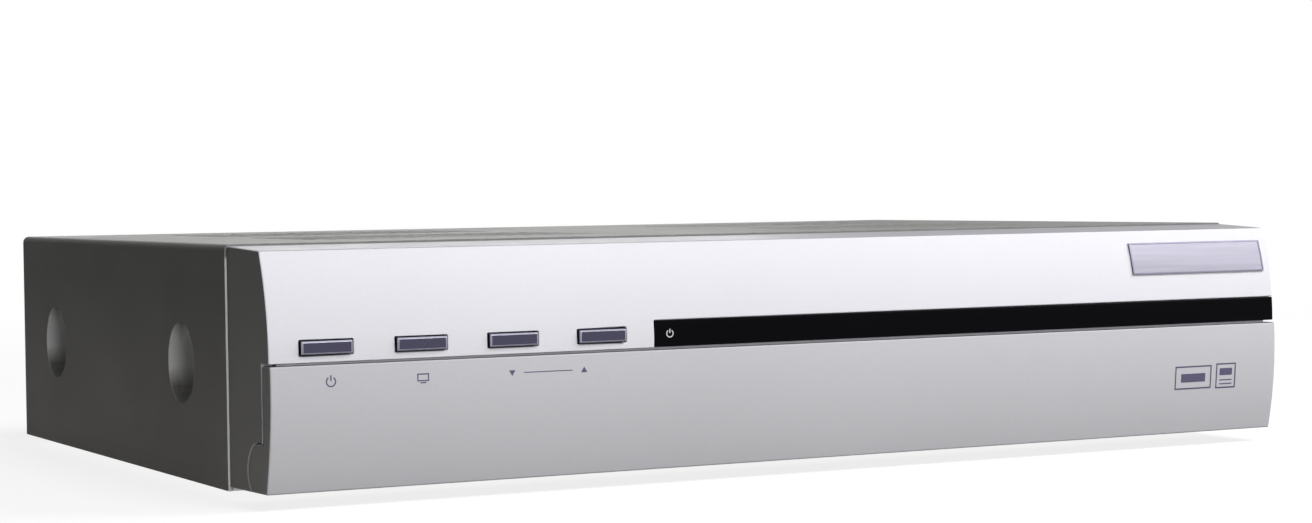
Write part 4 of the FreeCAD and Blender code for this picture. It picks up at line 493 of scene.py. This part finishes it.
def dressed(node, name, width=0.0, steps=2, flat=True):
    """Stands for a CAD node: its own shape, merged, with eased corners and smooth curves."""
    source = NODES[node]
    bm = bmesh.new()
    bm.from_mesh(source.data)
    bmesh.ops.remove_doubles(bm, verts=bm.verts, dist=SAME_PLACE)
    if flat:
        bmesh.ops.dissolve_limit(bm, angle_limit=FLAT, verts=bm.verts, edges=bm.edges)
    for face in bm.faces:
        face.smooth = True
        face.material_index = 0
    for edge in bm.edges:
        edge.smooth = True
    if width:
        ease(bm, width * MM)
    mesh = bpy.data.meshes.new(name)
    bm.to_mesh(mesh)
    bm.free()
    if "custom_normal" in mesh.attributes:
        mesh.attributes.remove(mesh.attributes["custom_normal"])
    work = bpy.data.objects.new(name, mesh)
    SCENE.collection.objects.link(work)
    if width:
        bevel = work.modifiers.new("ease", "BEVEL")
        bevel.limit_method = "WEIGHT"
        bevel.width = width * MM
        bevel.segments = steps
        bevel.use_clamp_overlap = False
        bevel.miter_outer = "MITER_ARC"
    mesh = settled(work)
    mesh.set_sharp_from_angle(angle=SHARP)
    work = bpy.data.objects.new(name, mesh)
    SCENE.collection.objects.link(work)
    weighted = work.modifiers.new("even", "WEIGHTED_NORMAL")
    weighted.keep_sharp = True
    mesh = settled(work)
    mesh.name = name
    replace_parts(placed(name, mesh, slot_of(node), source["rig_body"]), node)


def slot_of(node):
    """The material slot of a CAD node: the name that the pack gave its material."""
    return NODES[node].data.materials[0].name.split(".")[0]


def front_point(face, across, height, lift):
    """A point on a convex front face, in metres, from millimetres; lift stands off the face."""
    reach, radius, crown = face
    rise = height - crown
    run = math.sqrt(radius ** 2 - rise ** 2)
    forward = reach - radius + run + lift * run / radius
    return Vector((across, SEAM - forward, height + lift * rise / radius)) * MM


def on_panel(across, height, lift=0.0):
    """A point on the upper panel."""
    return front_point(PANEL, across, height, lift)


def on_flap(across, height, lift=0.0):
    """A point on the flap."""
    return front_point(FLAP, across, height, lift)


def bar(left, low, right, high):
    """A rectangle as a stack of strips, low enough to follow a curved face."""
    count = max(1, math.ceil((high - low) / STRIP))
    levels = [low + (high - low) * k / count for k in range(count + 1)]
    return [[(left, one), (right, one), (right, two), (left, two)] for one, two in zip(levels, levels[1:])]


def arc_band(across, height, outer, inner, start, end, steps=20):
    """A ring or part of one, as four-sided pieces; angles in degrees from the right, anticlockwise."""
    pieces = []
    for step in range(steps):
        one, two = (math.radians(start + (end - start) * k / steps) for k in (step, step + 1))
        pieces.append([(across + r * math.cos(a), height + r * math.sin(a))
                       for r, a in ((inner, one), (outer, one), (outer, two), (inner, two))])
    return pieces


def outline_box(left, low, right, high, line):
    """A frame of four bars."""
    return (bar(left, low, right, low + line) + bar(left, high - line, right, high)
            + bar(left, low + line, left + line, high - line)
            + bar(right - line, low + line, right, high - line))


def film(name, shapes, point, slot, material, lift=0.02, sunk=0.05, body="receiver"):
    """Flat shapes printed or laid on a surface; point turns (across, height, lift) into a place."""
    bm = bmesh.new()
    for shape in shapes:
        front = [bm.verts.new(point(x, z, lift)) for x, z in shape]
        back = [bm.verts.new(point(x, z, -sunk)) for x, z in shape]
        bm.faces.new(front)
        bm.faces.new(back[::-1])
        for k in range(len(shape)):
            n = (k + 1) % len(shape)
            bm.faces.new((front[n], front[k], back[k], back[n]))
    bmesh.ops.remove_doubles(bm, verts=bm.verts, dist=SAME_CORNER)
    bmesh.ops.recalc_face_normals(bm, faces=bm.faces)
    mesh = bpy.data.meshes.new(name)
    bm.to_mesh(mesh)
    bm.free()
    return placed(name, mesh, slot, body, material)


def standby_sign(across, height, radius, line):
    """A broken circle with a bar in its gap."""
    return arc_band(across, height, radius, radius - line, 125, 415) + bar(
        across - line / 2, height + 0.1 * radius, across + line / 2, height + 1.15 * radius)


def screen_sign(across, height, size, line):
    """A plain screen on a foot."""
    return outline_box(across - size, height - 0.62 * size, across + size, height + 0.62 * size, line) + bar(
        across - 0.5 * size, height - 0.95 * size, across + 0.5 * size, height - 0.95 * size + line)


def spun(profile, centres, steps=40, axis="Y"):
    """A mesh of bodies of revolution round centres: profile is (along, radius) in millimetres. A profile
    that ends off the axis is a closed loop."""
    bm = bmesh.new()
    for centre in centres:
        spin_one(bm, profile, centre, steps, axis)
    bmesh.ops.recalc_face_normals(bm, faces=bm.faces)
    return smooth_mesh(bm)


def spin_one(bm, profile, centre, steps, axis):
    """Adds one body of revolution to a bmesh."""
    rings = []
    if profile[0][1] > 0:
        profile = profile + profile[:1]
    for along, radius in profile:
        ring = []
        for k in range(steps if radius > 0 else 1):
            turn = 2 * math.pi * k / steps
            one, two = radius * math.cos(turn), radius * math.sin(turn)
            place = {"Y": (one, along, two), "Z": (one, two, along)}[axis]
            ring.append(bm.verts.new((Vector(centre) + Vector(place)) * MM))
        rings.append(ring)
    for one, two in zip(rings, rings[1:]):
        for k in range(steps):
            n = (k + 1) % steps
            corners = {one[k % len(one)]: 0, one[n % len(one)]: 0, two[n % len(two)]: 0, two[k % len(two)]: 0}
            if len(corners) > 2:
                bm.faces.new(list(corners))
    bmesh.ops.remove_doubles(bm, verts=bm.verts, dist=SAME_CORNER)


def smooth_mesh(bm):
    """The bmesh as a mesh, smooth but for its sharp edges."""
    for face in bm.faces:
        face.smooth = True
    mesh = bpy.data.meshes.new("shape")
    bm.to_mesh(mesh)
    bm.free()
    mesh.set_sharp_from_angle(angle=SHARP)
    return mesh


def prism(points, low, high, place):
    """A mesh of an outline pulled from low to high; place turns (a, b, level) into millimetres."""
    bm = bmesh.new()
    ends = [[bm.verts.new(Vector(place(a, b, level)) * MM) for a, b in points] for level in (low, high)]
    bm.faces.new(ends[0][::-1])
    bm.faces.new(ends[1])
    for k in range(len(points)):
        n = (k + 1) % len(points)
        bm.faces.new((ends[0][k], ends[0][n], ends[1][n], ends[1][k]))
    bmesh.ops.recalc_face_normals(bm, faces=bm.faces)
    return smooth_mesh(bm)


def upright(across, height, level):
    """A place for an outline that is drawn on a wall and pulled to the rear."""
    return across, level, height


def lying(across, back, level):
    """A place for an outline that is drawn on the ground and pulled up."""
    return across, back, level


# --- pieces that repeat -----------------------------------------------------------------------

def tree_with(name, inputs):
    """A geometry tree with named inputs, its input node's outputs and its output node's input."""
    tree = bpy.data.node_groups.new(name, "GeometryNodeTree")
    tree.interface.new_socket(name="Geometry", in_out="OUTPUT", socket_type="NodeSocketGeometry")
    for label, kind in inputs.items():
        tree.interface.new_socket(name=label, in_out="INPUT", socket_type="NodeSocket" + kind)
    return tree, tree.nodes.new("NodeGroupInput").outputs, tree.nodes.new("NodeGroupOutput").inputs[0]


def finished(tree, points, given, out, turn=None):
    """Sets the piece on every point, makes it real and gives it its finish."""
    piece = put(tree, "GeometryNodeObjectInfo", {"Object": given["Piece"]}).outputs["Geometry"]
    values = {"Points": points, "Instance": piece}
    if turn:
        values["Rotation"] = turn
    made = put(tree, "GeometryNodeInstanceOnPoints", values).outputs[0]
    real = put(tree, "GeometryNodeRealizeInstances", {0: made}).outputs[0]
    painted = put(tree, "GeometryNodeSetMaterial", {"Geometry": real, "Material": given["Finish"]})
    tree.links.new(painted.outputs[0], out)


def row_tree():
    """Pieces in a straight row, such as pins and legs."""
    tree, given, out = tree_with("set_in_row", {
        "Piece": "Object", "Finish": "Material", "Count": "Int", "Step": "Vector", "First": "Vector"})
    line = put(tree, "GeometryNodeMeshLine", {"Count": given["Count"], "Offset": given["Step"],
                                              "Start Location": given["First"]})
    finished(tree, line.outputs[0], given, out)
    return tree


def scatter_tree():
    """Small parts on a board: some places of a grid, at right angles to each other."""
    tree, given, out = tree_with("set_on_board", {
        "Piece": "Object", "Finish": "Material", "Width": "Float", "Length": "Float", "Across": "Int",
        "Along": "Int", "Middle": "Vector", "Share": "Float", "Seed": "Int"})
    grid = put(tree, "GeometryNodeMeshGrid", {"Size X": given["Width"], "Size Y": given["Length"],
                                              "Vertices X": given["Across"], "Vertices Y": given["Along"]})
    moved = put(tree, "GeometryNodeTransform", {"Geometry": grid.outputs[0], "Translation": given["Middle"]})
    keep = put(tree, "FunctionNodeRandomValue", {"Probability": given["Share"], "Seed": given["Seed"]},
               data_type="BOOLEAN")
    points = put(tree, "GeometryNodeMeshToPoints", {"Mesh": moved.outputs[0], "Selection": keep.outputs[3]})
    turns = put(tree, "FunctionNodeRandomValue", {4: 0, 5: 1, "Seed": given["Seed"]}, data_type="INT")
    quarter = put(tree, "ShaderNodeMath", {0: turns.outputs[2], 1: math.pi / 2}, operation="MULTIPLY")
    turn = put(tree, "ShaderNodeCombineXYZ", {2: quarter.outputs[0]})
    finished(tree, points.outputs[0], given, out, turn.outputs[0])
    return tree


ROW, SCATTER = row_tree(), scatter_tree()


def repeated(tree, piece, material, **values):
    """The mesh that a tree gives for a piece's mesh and the tree's own values, in metres."""
    model = bpy.data.objects.new("piece", piece)
    carrier = bpy.data.objects.new("carrier", bpy.data.meshes.new("carrier"))
    SCENE.collection.objects.link(model)
    SCENE.collection.objects.link(carrier)
    modifier = carrier.modifiers.new("repeat", "NODES")
    modifier.node_group = tree
    names = {item.name: item.identifier for item in tree.interface.items_tree if item.in_out == "INPUT"}
    modifier[names["Piece"]] = model
    modifier[names["Finish"]] = material
    for label, value in values.items():
        modifier[names[label]] = value
    mesh = settled(carrier)
    bpy.data.objects.remove(model)
    return mesh


def in_row(piece, material, count, step, first):
    """A piece's mesh, count times to the right of the place first; in millimetres."""
    return repeated(ROW, piece, material, Count=count, Step=Vector((step, 0, 0)) * MM,
                    First=Vector(first) * MM)


def joined(meshes):
    """Several meshes as one."""
    bm = bmesh.new()
    for mesh in meshes:
        bm.from_mesh(mesh)
    made = bpy.data.meshes.new("joined")
    bm.to_mesh(made)
    bm.free()
    return made


# --- the object's pieces ----------------------------------------------------------------------

def case_and_front():
    """The case, the front with its flap and window, the feet and the keys with their stems."""
    dressed("top_cover", "cover_sheet", 0.2, flat=False)
    dressed("chassis", "chassis_tray", flat=False)
    dressed("front_bezel", "bezel_moulding", 0.3, 3)
    dressed("flap", "drop_down_flap", 0.35, 3)
    dressed("display_window", "window_strip", 0.25, 3)
    dressed("rubber_feet", "foot_pads", 0.4)
    for key in ("standby", "mode", "channel_down", "channel_up"):
        dressed(key + "_button", key + "_cap", 0.12)
        dressed(key + "_plunger", key + "_stem", 0.15)


def front_marks():
    """Generic signs under the keys, bare boxes and a bare plate."""
    level = 27.4
    film("key_signs", standby_sign(-124.5, level, 1.2, 0.3) + screen_sign(-103.0, level, 1.4, 0.28)
         + [[(-82.3, 28.0), (-81.5, 26.7), (-80.7, 28.0)], [(-64.4, 26.8), (-62.8, 26.8), (-63.6, 28.1)]]
         + bar(-78.6, level - 0.11, -66.5, level + 0.11),
         on_flap, "flap_silver", MARK_GREY, body="flap")
    film("flap_boxes", outline_box(105.4, 14.8, 117.2, 20.8, 0.38)
         + outline_box(118.7, 14.6, 125.2, 21.1, 0.38)
         + bar(107.4, 16.6, 115.2, 18.8) + bar(119.9, 18.0, 124.0, 19.8) + bar(119.9, 16.6, 124.0, 16.9)
         + bar(119.9, 15.6, 124.0, 15.9),
         on_flap, "flap_silver", MARK_GREY, body="flap")
    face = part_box("display_window")[0].y / MM
    film("window_sign", standby_sign(-41.0, 34.7, 0.95, 0.24),
         lambda x, z, lift: Vector((x, face - lift, z)) * MM, "window_black", MARK_WHITE)
    film("badge_plate", bar(*BADGE), on_panel, "bezel_silver", PLATE, lift=0.3, sunk=0.1)
    film("badge_border", outline_box(*BADGE, 0.35), on_panel, "bezel_silver", PLATE_EDGE, lift=0.42,
         sunk=0.1)


def aerial_fittings():
    """F connectors: a threaded barrel with an insulated contact, and a nut that holds it."""
    thread = []
    for k in range(10):
        start = 92.9 + 0.7 * k
        thread += [(start, 4.38), (start + 0.2, 4.75), (start + 0.35, 4.75), (start + 0.55, 4.38)]
    barrel = ([(89.15, 0), (89.15, 4.4), (92.6, 4.4)] + thread
              + [(99.95, 4.38), (100.35, 4.05), (100.35, 2.85), (100.1, 2.6), (97.35, 2.6), (97.35, 0)])
    nut = [(REAR_WALL, 4.4), (REAR_WALL, 6.4), (91.95, 6.4), (92.35, 5.9), (92.35, 4.4)]
    made = placed("f_fittings", joined([spun(barrel, AERIALS), spun(nut, AERIALS, 6)]), "nickel")
    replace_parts(made, "f_connectors")
    placed("f_insulators", spun([(97.3, 0.45), (97.3, 2.58), (97.75, 2.58), (97.75, 0.45)], AERIALS, 28),
           "nickel", material=FINISHES["support_nylon"])


def phono_jacks():
    """Each jack: a plated shell, a black insulator inside it and a contact tube in its bore."""
    shell = [(92.35, 3.2), (92.35, 4.15), (98.95, 4.15), (99.35, 3.8), (99.35, 3.4), (99.15, 3.2)]
    made = placed("jack_shells", spun(shell, JACKS), "nickel")
    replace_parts(made, "jack_barrels")
    filling = [(92.35, 0), (92.35, 3.18), (98.5, 3.18), (98.75, 2.9), (98.75, 2.0), (98.45, 1.7),
               (93.35, 1.7), (93.35, 0)]
    placed("jack_insulators", spun(filling, JACKS), "black_moulding", material=INSULATOR)
    contact = [(93.4, 1.35), (93.4, 1.68), (98.3, 1.68), (98.3, 1.35)]
    placed("jack_contacts", spun(contact, JACKS, 28), "nickel")
    for node, name in (("video_jack_ring", "video_collar"), ("right_jack_ring", "right_collar"),
                       ("left_jack_ring", "left_collar")):
        dressed(node, name, 0.3)
    dressed("phono_block", "phono_body", 0.3, flat=False)


def serial_socket():
    """The D shell, its black block and nine pins in two rows, and the threaded posts."""
    x, z = SERIAL
    dressed("serial_port", "serial_shell", 0.2)
    block = [(x - 6.4, z - 2.9), (x + 6.4, z - 2.9), (x + 7.1, z + 2.9), (x - 7.1, z + 2.9)]
    placed("serial_block", prism(block, 91.0, 92.6, upright), "black_moulding")
    pin = spun([(92.4, 0), (92.4, 0.5), (95.4, 0.5), (95.75, 0.25), (95.75, 0)], ((0.0, 0.0, 0.0),), 12)
    step = 2.77
    upper = in_row(pin, FINISHES["nickel"], 5, step, (x - 2 * step, 0, z + 1.42))
    lower = in_row(pin, FINISHES["nickel"], 4, step, (x - 1.5 * step, 0, z - 1.42))
    placed("serial_pins", joined([upper, lower]), "nickel")
    posts = ((x - 12.5, 0.0, z), (x + 12.5, 0.0, z))
    post = [(REAR_WALL, 1.35), (REAR_WALL, 2.7), (95.0, 2.7), (95.35, 2.35), (95.35, 1.35)]
    core = [(REAR_WALL, 0), (REAR_WALL, 1.4), (91.4, 1.4), (91.4, 0)]
    made = placed("serial_jack_posts", joined([spun(post, posts, 6), spun(core, posts, 24)]), "nickel")
    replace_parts(made, "serial_posts")


def scart_pair():
    """The double socket, with a plated blade in each of its contact holes."""
    dressed("scart_sockets", "scart_bodies", flat=False)
    blade = prism([(-0.2, -0.95), (0.2, -0.95), (0.2, 0.95), (-0.2, 0.95)], 85.6, 90.9, upright)
    pitch = 3.3
    meshes = []
    for level in SCART_LEVELS:
        for row, shift in ((1.2, 0.25), (-3.6, -0.25)):
            first = (SCART_ACROSS + (shift - 4.5) * pitch + 0.35, 0, level + row + 1.2)
            meshes.append(in_row(blade, FINISHES["nickel"], 10, pitch, first))
    placed("scart_blades", joined(meshes), "nickel")


def on_rocker(across, along, lift):
    """A point on the rocker's face: along runs from its middle dip to its ends."""
    dip, rise, crest = 2.6, 1.795, 6.2
    side = 1 if along >= 0 else -1
    slope = math.hypot(rise, crest)
    share = abs(along) / slope
    out = dip + rise * share + lift * crest / slope
    up = side * (crest * share - lift * rise / slope)
    turn = math.radians(12)
    x, y, z = ROCKER
    return Vector((x + across, y + out * math.cos(turn) - up * math.sin(turn),
                   z + out * math.sin(turn) + up * math.cos(turn))) * MM


def power_entry():
    """The mains inlet with its plated pins, and the rocker switch with its on and off signs."""
    dressed("mains_inlet", "inlet_moulding", 0.3, flat=False)
    pin = [(79.0, 0), (79.0, 1.24), (89.2, 1.24), (89.75, 0.9), (89.9, 0.4), (89.9, 0)]
    placed("inlet_pins", spun(pin, INLET_PINS, 24), "nickel")
    dressed("switch_housing", "rocker_housing", 0.3, flat=False)
    dressed("power_rocker", "rocker_key", 0.4)
    film("rocker_signs", [[(-0.22, 2.1), (0.22, 2.1), (0.22, 4.7), (-0.22, 4.7)]]
         + arc_band(0.0, -3.4, 1.3, 0.9, 0, 360, 28),
         on_rocker, "rocker_black", MARK_WHITE, body="power_rocker")


def cover_screws():
    """Pan heads with a cross recess."""
    head = [(85.35, 0), (85.35, 1.5), (91.35, 1.5), (91.35, 2.8), (92.1, 2.8), (92.75, 2.3), (93.1, 1.3),
            (93.15, 0)]
    body = bpy.data.objects.new("screws", spun(head, SCREWS, 36))
    arm, long = 0.28, 1.45
    cross = [(-arm, -long), (arm, -long), (arm, -arm), (long, -arm), (long, arm), (arm, arm), (arm, long),
             (-arm, long), (-arm, arm), (-long, arm), (-long, -arm), (-arm, -arm)]
    crosses = [prism([(x + a, z + b) for a, b in cross], 91.9, 94.0, upright) for x, _, z in SCREWS]
    tool = bpy.data.objects.new("recess", joined(crosses))
    for made in (body, tool):
        SCENE.collection.objects.link(made)
    modifier = body.modifiers.new("recess", "BOOLEAN")
    modifier.object = tool
    modifier.operation = "DIFFERENCE"
    mesh = settled(body)
    bpy.data.objects.remove(tool)
    mesh.set_sharp_from_angle(angle=SHARP)
    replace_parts(placed("lip_screws", mesh, "zinc_sheet"), "cover_screws")


def leg():
    """One gull-wing leg of a chip, foot outwards along +Y."""
    side = [(0, 0.95), (0.5, 0.95), (0.8, 0.12), (1.3, 0.12), (1.3, 0.0), (0.68, 0.0), (0.4, 0.8), (0, 0.8)]
    return prism(side, -0.18, 0.18, lambda a, b, level: (level, a, b))


def solids_of(node):
    """The lowest and highest corner of each loose solid in a node, in millimetres."""
    bm = bmesh.new()
    bm.from_mesh(NODES[node].data)
    bmesh.ops.remove_doubles(bm, verts=bm.verts, dist=SAME_PLACE)
    left, found = set(bm.verts), []
    while left:
        near, solid = [left.pop()], []
        while near:
            vert = near.pop()
            solid.append(vert.co / MM)
            linked = {edge.other_vert(vert) for edge in vert.link_edges} & left
            left -= linked
            near.extend(linked)
        found.append([Vector(pick(v[i] for v in solid) for i in range(3)) for pick in (min, max)])
    bm.free()
    return sorted(found, key=lambda box: tuple(box[0]))


def chip_legs(node, name, sides, pitch):
    """Gull-wing legs along the given sides of each chip of a node."""
    meshes = []
    for low, high in solids_of(node):
        middle, half = (low + high) / 2, (high - low) / 2
        for side in sides:
            length, out = (half.x, half.y) if side % 2 == 0 else (half.y, half.x)
            count = int((2 * length - 1.0) / pitch)
            row = in_row(leg(), FINISHES["tinplate"], count, pitch, (-(count - 1) * pitch / 2, out, 0))
            row.transform(Matrix.Translation(Vector((middle.x, middle.y, BOARD_TOP)) * MM)
                          @ Matrix.Rotation(side * math.pi / 2, 4, "Z"))
            meshes.append(row)
    placed(name, joined(meshes), "tinplate")


def capacitor_trim():
    """The bare can's top inside each sleeve, and the pale stripe down its side."""
    tops, stripes = [], []
    for low, high in solids_of("capacitors"):
        x, y = (low.x + high.x) / 2, (low.y + high.y) / 2
        radius = (high.x - low.x) / 2
        flat = radius - 0.9
        tops.append(spun([(high.z - 0.4, 0), (high.z - 0.4, flat), (high.z + 0.06, flat), (high.z + 0.06, 0)],
                         ((x, y, 0.0),), 32, "Z"))
        turns = [math.radians(-70 + 4 * k) for k in range(11)]
        band = ([(x + (radius + 0.04) * math.cos(a), y + (radius + 0.04) * math.sin(a)) for a in turns]
                + [(x + (radius - 0.2) * math.cos(a), y + (radius - 0.2) * math.sin(a)) for a in turns[::-1]])
        stripes.append(prism(band, low.z + 0.6, high.z - 0.7, lying))
    placed("capacitor_tops", joined(tops), "heatsink_aluminium")
    placed("capacitor_stripes", joined(stripes), "capacitor_sleeve", material=FINISHES["audio_white"])


def eased_block(low, high, width):
    """A block between two corners, with rounded edges; all in millimetres."""
    bm = bmesh.new()
    bmesh.ops.create_cube(bm, size=1.0)
    for vert in bm.verts:
        vert.co = Vector((low[i] if vert.co[i] < 0 else high[i]) * MM for i in range(3))
    bmesh.ops.bevel(bm, geom=bm.edges[:], offset=width * MM, segments=3, profile=0.5, affect="EDGES")
    return smooth_mesh(bm)


def transformer():
    """A taped winding through a ferrite core; their shares of the whole follow the CAD solid."""
    low, high = (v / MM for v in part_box("transformer"))
    size, middle = high - low, (low + high) / 2
    core = eased_block((low.x, middle.y - size.y / 6, low.z), (high.x, middle.y + size.y / 6, high.z), 0.5)
    coil = eased_block((middle.x - 0.375 * size.x, low.y, low.z + size.z / 7),
                       (middle.x + 0.375 * size.x, high.y, low.z + 6 * size.z / 7), 2.0)
    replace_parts(placed("transformer_winding", coil, "transformer_core"), "transformer")
    placed("transformer_ferrite", core, "transformer_core", material=FERRITE)


def inside():
    """The boards and what stands on them, the ribbon and the harness."""
    for node, name, width in (
            ("front_board", "front_board_sheet", 0.0), ("tact_switches", "tact_switch_bodies", 0.15),
            ("led_display", "digit_display", 0.2), ("standby_lamp", "standby_lamp_lens", 0.0),
            ("infrared_receiver", "infrared_eye", 0.0), ("main_board", "main_board_sheet", 0.0),
            ("power_board", "power_board_sheet", 0.0), ("board_supports", "snap_supports", 0.0),
            ("decoder_chip", "decoder_package", 0.2), ("chip_heatsink", "decoder_heatsink", 0.15),
            ("memory_chips", "memory_packages", 0.15), ("capacitors", "capacitor_cans", 0.5),
            ("card_reader", "card_reader_body", 0.3), ("tuner_can", "tuner_shield", 0.3),
            ("power_heatsink", "regulator_heatsink", 0.15),
            ("mains_fuse", "fuse_and_clips", 0.0), ("ribbon_cable", "front_ribbon", 0.0),
            ("power_harness", "harness_wires", 0.0), ("wire_sockets", "wire_socket_bodies", 0.3)):
        dressed(node, name, width)
    chip_legs("decoder_chip", "decoder_legs", range(4), 1.1)
    chip_legs("memory_chips", "memory_legs", (0, 2), 1.27)
    capacitor_trim()
    transformer()
    part = prism([(-1.0, -0.6), (1.0, -0.6), (1.0, 0.6), (-1.0, 0.6)], 0.0, 0.55, lying)
    for name, middle, size, count, material, seed in (
            ("board_resistors", (-40.0, 22.0, BOARD_TOP), (40.0, 80.0), (11, 22), FINISHES["chip_resin"], 3),
            ("board_ceramics", (72.0, 8.0, BOARD_TOP), (32.0, 90.0), (9, 24), CERAMIC, 8)):
        mesh = repeated(SCATTER, part, material, Width=size[0] * MM, Length=size[1] * MM,
                        Across=count[0], Along=count[1], Middle=Vector(middle) * MM, Share=0.42,
                        Seed=seed)
        placed(name, mesh, "chip_resin", material=material)


case_and_front()
front_marks()
aerial_fittings()
phono_jacks()
serial_socket()
scart_pair()
power_entry()
cover_screws()
inside()


# --- camera, light and floor ------------------------------------------------------------------

CAMERA_PLACE = (-0.33305469, -0.64041378, 0.06805560)
CAMERA_RIGHT = (0.88201953, -0.47104153, -0.0127055)
CAMERA_UP = (0.02404776, 0.01806813, 0.99954752)
CAMERA_BACK = (-0.47059883, -0.88192597, 0.02726393)
CAMERA_LENS = 73.3966
AMBIENT = 0.035
LAMP_TINT = (0.965, 0.965, 1.0)
FLOOR_HALF = 12.0
FLOOR_DROP = 0.0002  # keeps the floor off the feet's undersides
FLOOR_FADE = (0.25, 0.9)  # over this distance the floor turns to plain white
FLOOR_SHADE, FLOOR_GLOW = 0.22, 0.82


def camera():
    """A long lens, low at the front left."""
    lens = bpy.data.cameras.new("camera")
    lens.lens = CAMERA_LENS
    lens.sensor_width = 36.0
    lens.sensor_fit = "HORIZONTAL"
    lens.clip_start = 0.01
    made = bpy.data.objects.new("camera", lens)
    SCENE.collection.objects.link(made)
    turn = Matrix((CAMERA_RIGHT, CAMERA_UP, CAMERA_BACK)).transposed().to_4x4()
    made.matrix_world = Matrix.Translation(CAMERA_PLACE) @ turn
    SCENE.camera = made


def lamp(name, place, target, size, power, colour=(1.0, 1.0, 1.0)):
    """A square lamp that points at a target."""
    light = bpy.data.lights.new(name, "AREA")
    light.color = colour
    light.shape = "SQUARE"
    light.size = size
    light.energy = power
    made = bpy.data.objects.new(name, light)
    SCENE.collection.objects.link(made)
    made.location = place
    made.rotation_euler = (Vector(target) - Vector(place)).to_track_quat("-Z", "Y").to_euler()


def seen_white(tree):
    """1 for rays that show the surroundings: from the camera, in gloss and through glass."""
    path = put(tree, "ShaderNodeLightPath").outputs
    either = calc(tree, "MAXIMUM", path["Is Camera Ray"], path["Is Glossy Ray"])
    return calc(tree, "MAXIMUM", either, path["Is Transmission Ray"])


def surroundings():
    """White where it is seen, and faint as a light."""
    world = bpy.data.worlds.new("studio")
    SCENE.world = world
    world.use_nodes = True
    tree = world.node_tree
    back = next(n for n in tree.nodes if n.type == "BACKGROUND")
    back.inputs["Color"].default_value = (1, 1, 1, 1)
    tree.links.new(spread(tree, seen_white(tree), 0.0, 1.0, AMBIENT, 1.0), back.inputs["Strength"])


def floor():
    """White paper, which takes a faint shadow near the object."""
    made, tree, shader = blank("floor_paper")
    place = put(tree, "ShaderNodeTexCoord").outputs["Object"]
    away = put(tree, "ShaderNodeVectorMath", {0: place}, operation="LENGTH").outputs["Value"]
    shade = spread(tree, away, *FLOOR_FADE, FLOOR_SHADE, 0.0)
    tree.links.new(put(tree, "ShaderNodeCombineColor", {0: shade, 1: shade, 2: shade}).outputs[0],
                   shader.inputs["Base Color"])
    shader.inputs["Roughness"].default_value = 0.9
    shader.inputs["Specular IOR Level"].default_value = 0.0
    shader.inputs["Emission Color"].default_value = (1, 1, 1, 1)
    glow = spread(tree, away, *FLOOR_FADE, FLOOR_GLOW, 1.0)
    tree.links.new(calc(tree, "MULTIPLY", seen_white(tree), glow), shader.inputs["Emission Strength"])
    bm = bmesh.new()
    bmesh.ops.create_grid(bm, x_segments=8, y_segments=8, size=FLOOR_HALF)
    mesh = bpy.data.meshes.new("floor")
    bm.to_mesh(mesh)
    bm.free()
    mesh.materials.append(made)
    sheet = bpy.data.objects.new("floor", mesh)
    sheet.location.z = -FLOOR_DROP
    SCENE.collection.objects.link(sheet)


camera()
surroundings()
floor()
lamp("key_lamp", (0.08, -0.80, 0.98), (0, -0.05, 0.03), 0.5, 8.2, LAMP_TINT)
lamp("front_lamp", (-0.30, -1.60, 0.25), (0, 0, 0.03), 0.35, 7.2, LAMP_TINT)
lamp("side_lamp", (0.85, -0.55, 0.75), (0, 0, 0.03), 0.6, 12.0, LAMP_TINT)
lamp("rear_lamp", (0.40, 1.25, 0.24), (0, 0, 0.03), 0.7, 5.5)
SCENE.view_settings.view_transform = "Standard"
